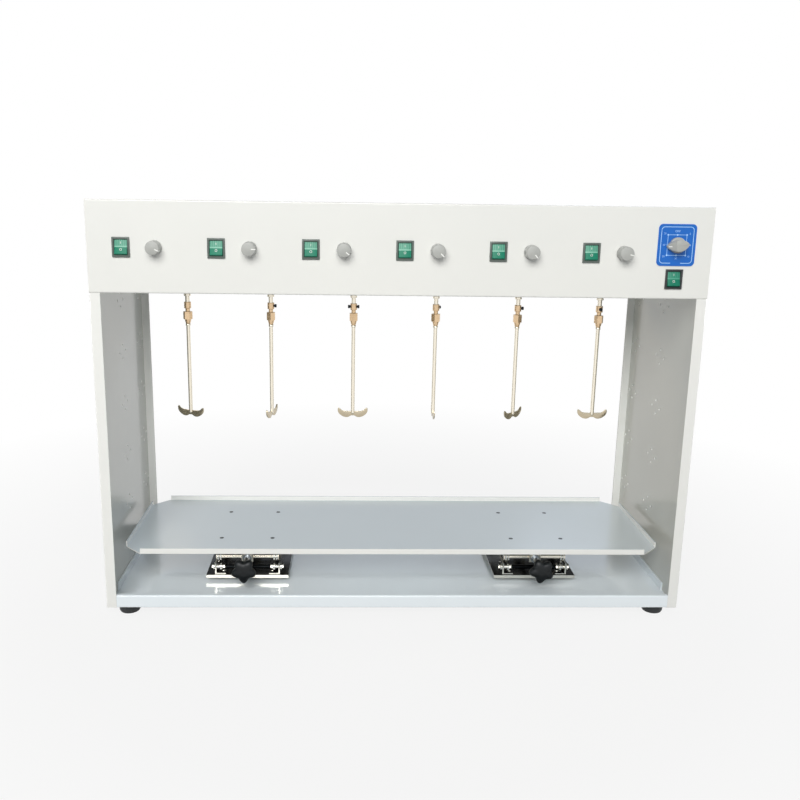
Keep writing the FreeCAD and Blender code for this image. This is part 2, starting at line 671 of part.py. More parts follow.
def eye(x_low, x_high, half_tall):
    """Two arcs that meet in points at both ends."""
    def draw(sketch):
        low, high, tall = num(x_low), num(x_high), num(half_tall)
        half = (high - low) / 2
        radius = (half ** 2 + tall ** 2) / (2 * tall)
        sweep = math.asin(half / radius)
        arcs = []
        for side in (1, -1):
            centre = Vector((low + high) / 2, side * (tall - radius), 0)
            ring = Part.Circle(centre, Vector(0, 0, 1), radius)
            upright = side * math.pi / 2
            arcs.append(sketch.addGeometry(
                Part.ArcOfCircle(ring, upright - sweep, upright + sweep), False))
        upper, lower = arcs
        sketch.addConstraint(Sketcher.Constraint("Coincident", upper, 2, lower, 1))
        sketch.addConstraint(Sketcher.Constraint("Coincident", lower, 2, upper, 1))
        tie_point(sketch, upper, 2, x_low, "0")
        tie_point(sketch, upper, 1, x_high, "0")
        sketch.addConstraint(Sketcher.Constraint("Equal", upper, lower))
        across = f"(({x_high}) - ({x_low}))"
        tie(sketch, "Radius", (upper,), f"({across}^2 / 4 + {half_tall}^2) / (2 * {half_tall})")
    return draw


def timer_knob(x, z, turned):
    """Round skirt with a pointed grip, whose nine o'clock end slopes down to the pointer."""
    body = on_panel("timer_knob", x, z, Rotation(Vector(0, 1, 0), turned))
    gap = "(dims.dial_thick + dims.knob_gap)"
    front = "(-dims.timer_deep)"
    pad(body, "XZ", f"-{gap} - dims.timer_skirt_deep", "dims.timer_skirt_deep",
        circle("0", "0", "dims.timer_skirt"))
    pad(body, "XZ", front, f"dims.timer_deep - {gap}",
        eye("-dims.timer_tip", "dims.timer_tail", "dims.timer_grip"))
    beyond = "(dims.timer_tip * 2)"
    pocket(body, "XY", "-dims.timer_grip", "2 * dims.timer_grip", polygon([
        ("-dims.timer_tip", f"-{gap} - dims.timer_skirt_deep / 2"), ("-dims.timer_face", front),
        ("-dims.timer_face", f"-{beyond}"), (f"-{beyond}", f"-{beyond}"),
        (f"-{beyond}", f"-{gap} - dims.timer_skirt_deep / 2")]))
    pocket(body, "XZ", "-dims.shaft_deep - dims.side_gap", "dims.shaft_deep",
           circle("0", "0", SHAFT_BORE))
    return keep(body)


def timer_plate(x, z):
    body = on_panel("timer_plate", x, z)
    half = "(dims.dial_wide / 2)"
    plate = pad(body, "XZ", "-dims.dial_thick", "dims.dial_thick",
                rectangle(f"-{half}", half, f"-{half}", half))
    round_edges(body, plate, "dims.dial_corner", lambda middle, run: near(abs(run.y), 1))
    pocket(body, "XZ", "-dims.dial_thick", "dims.dial_thick",
           circle("0", "0", "dims.bush_radius + dims.running_fit"))
    return keep(body)


def power_inlet():
    """Three-prong inlet on the head's back."""
    z = f"({HEAD_Z} + dims.head_tall / 2 + dims.foot_tall)"
    body = new_body("power_inlet", INLET_X, BACK, z)
    pad(body, "XZ", "0", "dims.inlet_thick", rectangle(
        "-dims.inlet_wide / 2", "dims.inlet_wide / 2", "-dims.inlet_tall / 2", "dims.inlet_tall / 2"))
    pad(body, "XZ", "-dims.inlet_deep", "dims.inlet_deep", rectangle(
        "-dims.inlet_body_wide / 2", "dims.inlet_body_wide / 2",
        "-dims.inlet_body_tall / 2", "dims.inlet_body_tall / 2"))
    floor = "(dims.inlet_thick - dims.socket_deep)"
    pocket(body, "XZ", floor, "dims.socket_deep", rectangle(
        "-dims.socket_wide / 2", "dims.socket_wide / 2",
        "-dims.socket_tall / 2", "dims.socket_tall / 2"))
    for step, rise in ((-1, -1), (0, 1), (1, -1)):
        x, z = f"({step} * dims.prong_step)", f"({rise} * dims.prong_shift)"
        pad(body, "XZ", floor, "dims.prong_long", rectangle(
            f"{x} - dims.prong_wide / 2", f"{x} + dims.prong_wide / 2",
            f"{z} - dims.prong_tall / 2", f"{z} + dims.prong_tall / 2"))
    return keep(body)


# Spindles and stirrers

UNDERSIDE_Z = f"(dims.foot_tall + {HEAD_Z})"


def drive_motors():
    """Hollow-shaft gear motors on the head's floor, one over each station."""
    motors = []
    for i in range(STATIONS):
        z = f"{UNDERSIDE_Z} + dims.gauge"
        can = primitive("Cylinder", "motor_can",
                        {"Radius": "dims.motor_radius", "Height": "dims.motor_tall"},
                        station_x(i), STATION_Y, z)
        bore = primitive("Cylinder", "motor_bore",
                         {"Radius": "dims.spindle_radius + dims.running_fit",
                          "Height": "dims.motor_tall"}, station_x(i), STATION_Y, z)
        motor = doc.addObject("Part::Cut", "motor")
        motor.Base = can
        motor.Tool = bore
        motors.append(motor)
    return group_of("drive_motors", motors)


def hexagon(flats):
    corner = f"({flats} / 2 / cos(30))"
    return polygon([(f"{corner} * cos({60 * i})", f"{corner} * sin({60 * i})") for i in range(6)])


def chuck(name, x, facing):
    """Spindle with a steel collar, a brass ring with its thumb screw, a hexagon nut and a nose."""
    body = new_body(name, x, STATION_Y, UNDERSIDE_Z, Rotation(Vector(0, 0, 1), facing))
    bore = "(dims.rod_radius + dims.running_fit)"
    nose = "(dims.nut_z + dims.nut_tall)"
    revolve(body, "XZ", [
        (bore, "dims.spindle_in"), ("dims.spindle_radius", "dims.spindle_in"),
        ("dims.spindle_radius", "-dims.collar_z"), ("dims.collar_radius", "-dims.collar_z"),
        ("dims.collar_radius", "-dims.collar_z - dims.collar_tall"),
        ("dims.spindle_radius", "-dims.collar_z - dims.collar_tall"),
        ("dims.spindle_radius", "-dims.ring_z"), ("dims.ring_radius", "-dims.ring_z"),
        ("dims.ring_radius", "-dims.ring_z - dims.ring_tall"),
        ("dims.neck_radius", "-dims.ring_z - dims.ring_tall"),
        ("dims.neck_radius", "-dims.nut_z"), ("dims.nose_top", "-dims.nut_z"),
        ("dims.nose_top", f"-{nose}"), ("dims.nose_tip", f"-{nose} - dims.nose_tall"),
        (bore, f"-{nose} - dims.nose_tall")])
    pad(body, "XY", f"-{nose}", "dims.nut_tall", hexagon("dims.nut_flats"), circle("0", "0", bore))
    middle = "(-dims.ring_z - dims.ring_tall / 2)"
    stem = "(dims.rod_radius + dims.ring_radius) / 2"
    pad(body, "YZ", stem, f"dims.screw_reach - {stem}", circle("0", middle, "dims.screw_radius"))
    pad(body, "YZ", "dims.screw_reach - dims.screw_head", "dims.screw_head",
        circle("0", middle, "dims.screw_head"))
    return keep(body)


def stirrer(name, x, facing):
    """Rod with a flat blade: two upturned wings, round below, with a notch under the rod."""
    body = new_body(name, x, STATION_Y, f"{UNDERSIDE_Z} - dims.blade_drop",
                    Rotation(Vector(0, 0, 1), facing))
    top = "(dims.blade_drop - dims.rod_top)"
    half = "(dims.blade_wide / 2)"
    pad(body, "XY", "dims.hub_rise", f"{top} - dims.hub_rise", circle("0", "0", "dims.rod_radius"))
    pad(body, "XY", "dims.hub_rise", "dims.hub_tall", circle("0", "0", "dims.hub_radius"))
    back = "(-dims.blade_thick / 2)"
    blade = pad(body, "XZ", back, "dims.blade_thick",
                rectangle(f"-{half}", half, "0", "dims.blade_tall"))
    width = num(half)
    round_edges(body, blade, "dims.blade_round", lambda middle, run: (
        near(abs(run.y), 1) and near(middle.z, 0) and near(abs(middle.x), width)))
    pocket(body, "XZ", back, "dims.blade_thick",
           circle("-dims.scoop_x", "dims.scoop_z", "dims.scoop_radius"),
           circle("dims.scoop_x", "dims.scoop_z", "dims.scoop_radius"),
           circle("0", "0", "dims.notch_radius"))
    return keep(body)


# Tray

def tray_screw_places():
    """The tray's fixing screws, four over each jack's upper rails."""
    reach = f"({RAIL_HALF} - dims.tray_screw_end)"
    return [(f"({jack_side} * {JACK_X} + {x_side} * dims.tray_screw_x)", f"{y_side} * {reach}")
            for jack_side in (-1, 1) for x_side in (-1, 1) for y_side in (-1, 1)]


def flush_heads(name, gap):
    """The countersunk heads of the tray screws, or with a gap round them their seats."""
    return [primitive("Cone", name, {
        "Radius1": f"dims.screw_shank + {gap}", "Radius2": f"dims.screw_flush + {gap}",
        "Height": "dims.tray_gauge"}, x, f"{TRAY_Y} + {y}", TRAY_Z) for x, y in tray_screw_places()]


def tray():
    """Shallow tray with four upturned lips and cut corners."""
    body = new_body("tray_sheet", "0", f"{TRAY_Y} - {TRAY_DEEP} / 2", TRAY_Z)
    half, deep, cut = TRAY_HALF, TRAY_DEEP, "dims.tray_cut"
    plate = polygon([
        (f"-{half} + {cut}", "0"), (f"{half} - {cut}", "0"), (half, cut),
        (half, f"{deep} - {cut}"), (f"{half} - {cut}", deep), (f"-{half} + {cut}", deep),
        (f"-{half}", f"{deep} - {cut}"), (f"-{half}", cut)])
    pad(body, "XY", "0", "dims.tray_gauge", plate)
    lips = [rectangle(f"-{half} + {cut}", f"{half} - {cut}", "0", "dims.tray_gauge"),
            rectangle(f"-{half} + {cut}", f"{half} - {cut}", f"{deep} - dims.tray_gauge", deep),
            rectangle(f"-{half}", f"-{half} + dims.tray_gauge", cut, f"{deep} - {cut}"),
            rectangle(f"{half} - dims.tray_gauge", half, cut, f"{deep} - {cut}")]
    walls = pad(body, "XY", "0", "dims.tray_lip", *lips)
    wide, far = num(half), num(deep)
    round_edges(body, walls, "dims.tray_bend", lambda middle, run: (
        near(middle.z, 0) and (near(middle.y, 0) or near(middle.y, far)
                               or near(abs(middle.x), wide))))
    drilled = doc.addObject("Part::Cut", "tray")
    drilled.Base = body
    seats = doc.addObject("Part::Compound", "tray_screw_seats")
    seats.Links = flush_heads("tray_screw_seat", "dims.running_fit")
    drilled.Tool = seats
    return keep(drilled)


def tray_screws():
    """Countersunk screws through the tray and a jack's upper plate into its rails."""
    screws = []
    shank_long = "(2 * dims.jack_gauge)"
    for head, (x, y) in zip(flush_heads("screw_head", "0"), tray_screw_places()):
        shank = primitive("Cylinder", "screw_shank", {
            "Radius": "dims.screw_shank", "Height": shank_long},
            x, f"{TRAY_Y} + {y}", f"{TRAY_Z} - {shank_long}")
        screw = doc.addObject("Part::MultiFuse", "tray_screw")
        screw.Shapes = [head, shank]
        screws.append(screw)
    return group_of("tray_screws", screws)


# Jacks

def rails(body, face, up):
    """Two angle rails on a jack plate, with a pivot hole behind and a slot for the sliding pin."""
    long_half = RAIL_HALF
    foot_low = face if up > 0 else f"({face} - dims.jack_gauge)"
    wall_low = face if up > 0 else f"({face} - dims.rail_high)"
    for side in (-1, 1):
        outer = f"({side} * dims.rail_out)"
        foot = rectangle(outer, f"{side} * (dims.rail_out - dims.rail_foot)",
                         f"-{long_half}", long_half)
        wall = rectangle(outer, f"{side} * (dims.rail_out - dims.jack_gauge)",
                         f"-{long_half}", long_half)
        pad(body, "XY", foot_low, "dims.jack_gauge", foot)
        pad(body, "XY", wall_low, "dims.rail_high", wall)
        start = outer if side < 0 else f"({outer} - dims.jack_gauge)"
        pivot = f"({face} + {up} * dims.pivot_rise)"
        pocket(body, "YZ", start, "dims.jack_gauge",
               circle(f"{REACH} / 2", pivot, PIN_HOLE),
               stadium(f"-{REACH} / 2", f"-{REACH} / 2 + {TRAVEL}", pivot, PIN_HOLE))


def jack_base(name, x):
    """Lower plate with turned edges and its rails."""
    body = new_body(name, x, TRAY_Y, PLATE_Z)
    half_x, half_y = "(dims.jack_wide / 2)", PLATE_HALF
    pad(body, "XY", "-dims.jack_gauge", "dims.jack_gauge",
        rectangle(f"-{half_x}", half_x, f"-{half_y}", half_y))
    pad(body, "XY", "-dims.skirt", "dims.skirt",
        rectangle(f"-{half_x}", half_x, f"-{half_y}", f"-{half_y} + dims.jack_gauge"),
        rectangle(f"-{half_x}", half_x, f"{half_y} - dims.jack_gauge", half_y))
    rails(body, "0", 1)
    return keep(body)


def jack_top(name, x, side):
    """Upper plate, screwed under the tray, with its rails hanging down."""
    body = new_body(name, x, TRAY_Y, TOP_PLATE_Z)
    half_x, half_y = "(dims.jack_wide / 2)", PLATE_HALF
    pad(body, "XY", "0", "dims.jack_gauge",
        rectangle(f"-{half_x}", half_x, f"-{half_y}", half_y))
    rails(body, "0", -1)
    screws = [circle(f"{x} - ({side} * {JACK_X})", y, "dims.screw_shank + dims.running_fit")
              for x, y in tray_screw_places() if num(x) * side > 0]
    pocket(body, "XY", "-dims.jack_gauge", "2 * dims.jack_gauge", *screws)
    return keep(body)


def jack_pads():
    """Rubber pads under the jacks' lower plates, standing on the base pan."""
    pads = []
    for jack_side in (-1, 1):
        for x_side in (-1, 1):
            for y_side in (-1, 1):
                pads.append(primitive(
                    "Cylinder", "jack_pad",
                    {"Radius": "dims.pad_radius",
                     "Height": "dims.pad_tall + dims.skirt - dims.jack_gauge"},
                    f"{jack_side} * {JACK_X} + {x_side} * (dims.jack_wide / 2 - dims.pad_inset)",
                    f"{TRAY_Y} + {y_side} * ({PLATE_HALF} - dims.pad_inset)", FLOOR_Z))
    return group_of("jack_rubber_pads", pads)


def headed_pin(body, y, reach):
    """A pin across the jack with a head on each end."""
    pad(body, "YZ", f"-{reach}", f"2 * {reach}", circle(y, "0", "dims.pin_radius"))
    for start in (f"-{reach} - dims.pin_head_thick", reach):
        pad(body, "YZ", start, "dims.pin_head_thick", circle(y, "0", "dims.pin_head"))


def arm_pair(name, x, z, kind, pin_at_start):
    """Two arms of one level, left and right, joined by the pin across the jack at one end.

    Outer arms lean to the front and carry the middle rivets, and inner arms lean to the back.
    The body's own zero is at the arms' lower pivot.
    """
    outer = kind == "outer"
    lean = -1 if outer else 1
    y = f"{TRAY_Y} - {lean} * {REACH} / 2"
    turn = Rotation(Vector(1, 0, 0), lean * num("dims.rest_angle"))
    body = new_body(name, x, y, z, turn)
    low_end = "-dims.arm_span" if outer else "0"
    high_end = "0" if outer else "dims.arm_span"
    tip = f"({lean} * dims.arm_span)"
    pin_y, open_y = ("0", tip) if pin_at_start else (tip, "0")
    headed_pin(body, pin_y, "(dims.rail_out + dims.side_gap)")
    face = OUTER_ARM if outer else INNER_ARM
    for side in (-1, 1):
        start = face if side > 0 else f"(-{face} - dims.arm_gauge)"
        pad(body, "YZ", start, "dims.arm_gauge",
            stadium(low_end, high_end, "0", "dims.arm_radius"))
        holes = [circle(open_y, "0", PIN_HOLE)]
        if not outer:
            holes.append(circle(f"{tip} / 2", "0", PIN_HOLE))
        pocket(body, "YZ", start, "dims.arm_gauge", *holes)
        if outer:
            middle = f"{tip} / 2"
            near_face = f"({INNER_ARM} - dims.side_gap)"
            stem = f"({OUTER_ARM} - {near_face})"
            stem_start = near_face if side > 0 else f"(-{OUTER_ARM})"
            pad(body, "YZ", stem_start, stem, circle(middle, "0", "dims.pin_radius"))
            head_thick = "dims.rivet_head_thick"
            head_start = f"({near_face} - {head_thick})" if side > 0 else f"(-{near_face})"
            pad(body, "YZ", head_start, head_thick, circle(middle, "0", "dims.pin_head"))
    return keep(body)


def screw_bar(name, x, y, z):
    """Cross bar at the middle joints, with the block that the lead screw goes through."""
    body = new_body(name, x, y, z)
    reach = f"({OUTER_ARM} + dims.arm_gauge + dims.side_gap)"
    pad(body, "YZ", f"-{reach}", f"2 * {reach}", circle("0", "0", "dims.pin_radius"))
    head_thick = "dims.bar_head_thick"
    for start in (f"-{reach} - {head_thick}", reach):
        pad(body, "YZ", start, head_thick, circle("0", "0", "dims.pin_head"))
    pad(body, "YZ", "-dims.block_wide / 2", "dims.block_wide", rectangle(
        "-dims.block_deep / 2", "dims.block_deep / 2", "-dims.block_tall / 2", "dims.block_tall / 2"))
    pocket(body, "XZ", "-dims.block_deep / 2", "dims.block_deep",
           circle("0", "0", "dims.thread_radius + dims.running_fit"))
    return keep(body)


def lead_screw(name, x, y, z):
    """Screw held by two collars at the front bar. Its own zero is on the front bar's axis."""
    body = new_body(name, x, y, z)
    near_stop = "(dims.block_deep / 2 + dims.side_gap)"
    far_stop = f"({near_stop} + dims.stop_thick)"
    tail = f"({REACH} + dims.block_deep / 2 + dims.thread_over)"
    head = "(-dims.knob_reach - dims.star_thick / 2)"
    thread = "dims.thread_radius"
    stop = "dims.stop_radius"
    revolve(body, "XY", [
        ("0", head), (thread, head), (thread, f"-{far_stop}"), (stop, f"-{far_stop}"),
        (stop, f"-{near_stop}"), (thread, f"-{near_stop}"), (thread, near_stop),
        (stop, near_stop), (stop, far_stop), (thread, far_stop), (thread, f"{tail} - 1"),
        (f"{thread} - 1", tail), ("0", tail)])
    return keep(body)


def star_knob(name, x, y, z, turned):
    """Lobed hand knob on the lead screw, one lobe pointing down unturned."""
    body = new_body(name, x, f"{y} - dims.knob_reach", z, Rotation(Vector(0, 1, 0), turned))
    front = "(-dims.star_thick / 2)"
    pad(body, "XZ", front, "dims.star_thick", circle("0", "0", "dims.star_core"))
    lobe = pad(body, "XZ", front, "dims.star_thick",
               circle("0", "-dims.star_reach", "dims.star_lobe"))
    around = body.newObject("PartDesign::PolarPattern", body.Name + "_lobes")
    around.Originals = [lobe]
    around.Axis = (next(f for f in body.Origin.OriginFeatures if f.Role == "Y_Axis"), [""])
    around.Angle = 360
    around.Occurrences = int(num("dims.star_lobes"))
    body.Tip = around
    half = num("dims.star_thick") / 2
    round_edges(body, around, "dims.star_round",
                lambda middle, run: run.Length > 0 and near(abs(middle.y), half))
    pad(body, "XZ", "dims.star_thick / 2", "dims.star_hub_long",
        circle("0", "0", "dims.star_hub"))
    pocket(body, "XZ", front, "dims.star_thick + dims.star_hub_long",
           circle("0", "0", "dims.thread_radius"))
    return keep(body)


def jack(label, side, knob_turn):
    """One double-scissor jack. Each level is an outer and an inner pair of crossed arms."""
    x = f"({side} * {JACK_X})"
    middle_z = f"({LOW_Z} + {RISE})"
    front_y = f"({TRAY_Y} - {REACH} / 2)"
    rear_y = f"({TRAY_Y} + {REACH} / 2)"
    jack_base(f"{label}_jack_base", x)
    jack_top(f"{label}_jack_top_plate", x, side)
    arm_pair(f"{label}_lower_outer_arms", x, LOW_Z, "outer", True)
    arm_pair(f"{label}_lower_inner_arms", x, LOW_Z, "inner", True)
    arm_pair(f"{label}_upper_outer_arms", x, middle_z, "outer", False)
    arm_pair(f"{label}_upper_inner_arms", x, middle_z, "inner", False)
    screw_bar(f"{label}_screw_bar", x, front_y, middle_z)
    screw_bar(f"{label}_nut_bar", x, rear_y, middle_z)
    lead_screw(f"{label}_lead_screw", x, front_y, middle_z)
    star_knob(f"{label}_jack_knob", x, front_y, middle_z, knob_turn)


# The whole tester

# Speed knob pointers, in degrees clockwise from three o'clock, as they are set
POINTERS = [25, 0, 40, 45, 50, 15]
# The timer's pointer, in degrees clockwise from nine o'clock
TIMER_POINTER = -9
# Blade and chuck directions, in degrees about the spindle, as they stopped
BLADE_FACINGS = [35, 75, 0, 90, 55, 0]
CHUCK_FACINGS = [180, 0, 0, 40, 0, -90]

side_panel("left_side_panel", -1)
side_panel("right_side_panel", 1)
base_pan()
head_shell()
head_rear_cover()
rubber_feet()

housings = [switch_housing(x, z) for x, z in switch_places()]
group_of("switch_housings", housings)
for number, (x, z) in enumerate(switch_places(), start=1):
    rocker(f"rocker_{number}" if number <= STATIONS else "master_rocker", x, z)
control_spindles()
for number, (x, z) in enumerate(knob_places()[:STATIONS], start=1):
    speed_knob(f"speed_knob_{number}", x, z, POINTERS[number - 1])
timer_plate(*knob_places()[STATIONS])
timer_knob(*knob_places()[STATIONS], TIMER_POINTER)
power_inlet()

drive_motors()
for number in range(1, STATIONS + 1):
    chuck(f"chuck_{number}", station_x(number - 1), CHUCK_FACINGS[number - 1])
    stirrer(f"stirrer_{number}", station_x(number - 1), BLADE_FACINGS[number - 1])

tray()
tray_screws()
jack_pads()
jack("left", -1, 0)
jack("right", 1, -20)

# Check and write

doc.recompute()
for thing in doc.Objects:
    if "Invalid" in thing.State or "Error" in thing.State:
        raise RuntimeError(f"{thing.Name} failed: {thing.State}")
for node in nodes:
    shape = node.Shape
    if shape.isNull() or not shape.isValid() or shape.Volume <= 0:
        raise RuntimeError(f"{node.Label} has no sound shape")
for node in nodes:
    node.Shape.exportStep(f"parts/{node.Label}.step")
print(len(nodes), "nodes written")
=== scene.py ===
# %% [markdown]
# # A six-place jar tester
# A jar tester stirs six jars of water side by side. Its frame is bent from sheet steel and coated
# with white enamel, a control head bridges the top, and six rods with anchor blades hang from it.
# Under them a tray stands on two small scissor jacks.
#
# The construction comes ready made, in metres, with each part in its own place. This script gives
# it finishes, shapes its switches, knobs, chucks, stirrers and feet more finely, and adds the small
# things that a workshop adds last: screws, nuts and print.

# %% Load the frame
import json
import math

import bmesh
import bpy
from mathutils import Matrix, Vector


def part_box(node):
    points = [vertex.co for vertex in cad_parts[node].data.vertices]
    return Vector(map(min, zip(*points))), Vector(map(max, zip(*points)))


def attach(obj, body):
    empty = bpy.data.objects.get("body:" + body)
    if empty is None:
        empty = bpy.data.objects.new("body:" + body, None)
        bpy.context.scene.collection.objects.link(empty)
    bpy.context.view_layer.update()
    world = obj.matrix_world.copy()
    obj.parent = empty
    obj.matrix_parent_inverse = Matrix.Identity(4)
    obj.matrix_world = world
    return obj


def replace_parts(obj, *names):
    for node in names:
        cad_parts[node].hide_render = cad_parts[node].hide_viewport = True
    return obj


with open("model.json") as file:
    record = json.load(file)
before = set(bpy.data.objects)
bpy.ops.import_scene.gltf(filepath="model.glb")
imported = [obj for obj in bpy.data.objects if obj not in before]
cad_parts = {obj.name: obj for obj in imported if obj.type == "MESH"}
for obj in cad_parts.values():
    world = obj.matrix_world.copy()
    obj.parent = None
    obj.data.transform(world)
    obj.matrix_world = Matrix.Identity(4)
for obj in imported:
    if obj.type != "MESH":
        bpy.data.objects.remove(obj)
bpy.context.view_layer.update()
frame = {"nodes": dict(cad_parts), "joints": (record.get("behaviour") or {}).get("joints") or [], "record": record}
MM = 0.001
# Two points closer than this, in metres, are one point
CLOSE = 1e-6
joint_places = {
    joint["name"]: Vector(joint["pos_m"]) for joint in frame["joints"] if "pos_m" in joint}
print(len(frame["nodes"]), "parts loaded")

# %% [markdown]
# ## Colour and nodes
# Paint charts and photographs give colours as sRGB hex values, but a renderer adds light in
# linear values. One function turns one into the other. Each of the others adds a node, sets it up
# and links it, so that a material reads like a recipe.

# %% Colour and node helpers


def colour(hex_value):
    """Linear RGBA of an sRGB hex colour."""
    channels = [int(hex_value[i:i + 2], 16) / 255 for i in (1, 3, 5)]
    linear = [c / 12.92 if c <= 0.04045 else ((c + 0.055) / 1.055) ** 2.4 for c in channels]
    return (*linear, 1)


def add_node(tree, kind, sockets=None, **settings):
    """Add a node. A socket gets a plain value, or a link from another node's output."""
    node = tree.nodes.new("ShaderNode" + kind)
    for name, value in settings.items():
        setattr(node, name, value)
    for name, value in (sockets or {}).items():
        if isinstance(value, bpy.types.NodeSocket):
            tree.links.new(value, node.inputs[name])
        else:
            node.inputs[name].default_value = value
    return node


def calculated(tree, operation, *values):
    """The result of a Math node."""
    return add_node(tree, "Math", dict(enumerate(values)), operation=operation).outputs[0]


def ranged(tree, value, start=0.0, end=1.0, low=0.0, high=1.0):
    """Runs from low to high while a value runs from start to end."""
    return add_node(tree, "MapRange", {
        "Value": value, "From Min": start, "From Max": end,
        "To Min": low, "To Max": high}).outputs["Result"]


def share_along(tree, axis, vector):
    """The X, Y or Z of a vector."""
    return add_node(tree, "SeparateXYZ", {0: vector}).outputs[axis]


def facing_along(tree, axis):
    """How far the surface faces along an axis, from -1 to 1."""
    return share_along(tree, axis, add_node(tree, "NewGeometry").outputs["Normal"])


def mixed(tree, amount, first, second, blend_type="MIX"):
    """Two colours mixed by a mask. Each is a hex value, linear RGBA or a node's output."""
    sockets = {"Factor": amount}
    for name, side in (("A", first), ("B", second)):
        sockets[name] = colour(side) if isinstance(side, str) else side
    node = add_node(tree, "Mix", sockets, data_type="RGBA", blend_type=blend_type)
    return node.outputs["Result"]


def start_material(name, **surface):
    """A material with one Principled shader, and the output of Object coordinates."""
    material = bpy.data.materials.new(name)
    material.use_nodes = True
    tree = material.node_tree
    shader = tree.nodes["Principled BSDF"]
    for socket, value in surface.items():
        shader.inputs[socket.replace("_", " ")].default_value = value
    place = add_node(tree, "TexCoord").outputs["Object"]
    return material, tree, shader, place


def paint(tree, shader, amount, low, high):
    """Base colour between two paints, by how much a pattern shows."""
    tree.links.new(mixed(tree, amount, low, high), shader.inputs["Base Color"])


def multiply_tint(tree, shader, amount, tint):
    """Multiply the base colour by a tint, where a mask shows."""
    under = shader.inputs["Base Color"].links[0].from_socket
    tree.links.new(mixed(tree, amount, under, tint, "MULTIPLY"), shader.inputs["Base Color"])


def roughen(tree, shader, amount, low, high):
    """Roughness that follows a pattern from low to high."""
    tree.links.new(ranged(tree, amount, low=low, high=high), shader.inputs["Roughness"])


def raise_bumps(tree, shader, height, tall_mm):
    bump = add_node(tree, "Bump", {"Height": height, "Distance": tall_mm * MM})
    tree.links.new(bump.outputs["Normal"], shader.inputs["Normal"])


def grain(tree, place, size_mm, detail=3.0, stretch=(1, 1, 1)):
    """Noise whose grains are size_mm across, drawn out where stretch is below one."""
    scaled = add_node(tree, "Mapping", {"Vector": place, "Scale": stretch})
    noise = add_node(tree, "TexNoise", {
        "Vector": scaled.outputs["Vector"], "Scale": 1 / (size_mm * MM), "Detail": detail})
    return noise.outputs["Fac"]


# %% [markdown]
# ## White enamel
# The frame, the head and the tray are sheet steel with baked gloss enamel. It dries with a faint
# orange peel about two millimetres across, and shows soft mirror images at a low angle.

# %% White enamel


def white_enamel(name, low, high, gloss):
    """Two close whites in wide clouds, under a thin clear coat."""
    material, tree, shader, place = start_material(
        name, IOR=1.52, Coat_Weight=gloss, Coat_Roughness=0.06)
    paint(tree, shader, grain(tree, place, 160, detail=2), low, high)
    roughen(tree, shader, grain(tree, place, 25), 0.16, 0.26)
    raise_bumps(tree, shader, grain(tree, place, 2.4, detail=1), 0.012)
    return material


def tray_enamel_with_painted_shade():
    """The tray's upper face is tinted darker and blue-grey: painted shade under the head."""
    material = white_enamel("tray_enamel_with_painted_shade", "#f6f6f3", "#f0f1ee", gloss=0.3)
    tree = material.node_tree
    upper = ranged(tree, facing_along(tree, "Z"), 0.6, 0.9)
    # Painted shade: faces that look up are multiplied by a blue-grey tint
    multiply_tint(tree, tree.nodes["Principled BSDF"], upper, "#d0dae2")
    return material


def side_enamel_with_painted_shade():
    """The inner faces of the side panels are tinted darker: painted shade inside the frame."""
    material = white_enamel("side_enamel_with_painted_shade", "#f3f3f0", "#edeeeb", gloss=0.25)
    tree = material.node_tree
    across = share_along(tree, "X", tree.nodes["Texture Coordinate"].outputs["Object"])
    outward = calculated(tree, "MULTIPLY", facing_along(tree, "X"), across)
    # Painted shade: faces that look inward are multiplied by a grey tint
    inner = ranged(tree, outward, -0.2, -0.3)
    multiply_tint(tree, tree.nodes["Principled BSDF"], inner, "#d9d9d4")
    return material


# %% [markdown]
# ## Plastic, rubber, ink and black screws
# Moulded rubber has no mirror at all and a fine grey bloom. The bezels, knobs and hand knobs are
# plastic with more or less gloss, printed ink is nearly flat, and blackened steel has a dull dark
# sheen. One recipe serves them all: patches of two close colours, dull spots and a fine texture.

# %% Plain finishes


def plain_finish(name, low, high, grains, roughness, bumps=0.0, **surface):
    """The grains are the sizes of patches, dull spots and texture, in millimetres."""
    material, tree, shader, place = start_material(name, **surface)
    patch, spot, *texture = grains
    paint(tree, shader, grain(tree, place, patch), low, high)
    roughen(tree, shader, grain(tree, place, spot), *roughness)
    if texture:
        raise_bumps(tree, shader, grain(tree, place, *texture), bumps)
    return material


# %% [markdown]
# ## Lit green rockers
# A lit rocker is clear green polycarbonate over a lamp. Real transmission would need the lamp
# inside, so its depth is drawn: with upright ribs, an upper half painted lighter as a painted
# reflection, a painted highlight along the crease and a faint glow.

# %% Green lenses
RIB_PITCH = 2.17
# A wave texture of scale one repeats after this length
WAVE_LENGTH = math.pi / 10


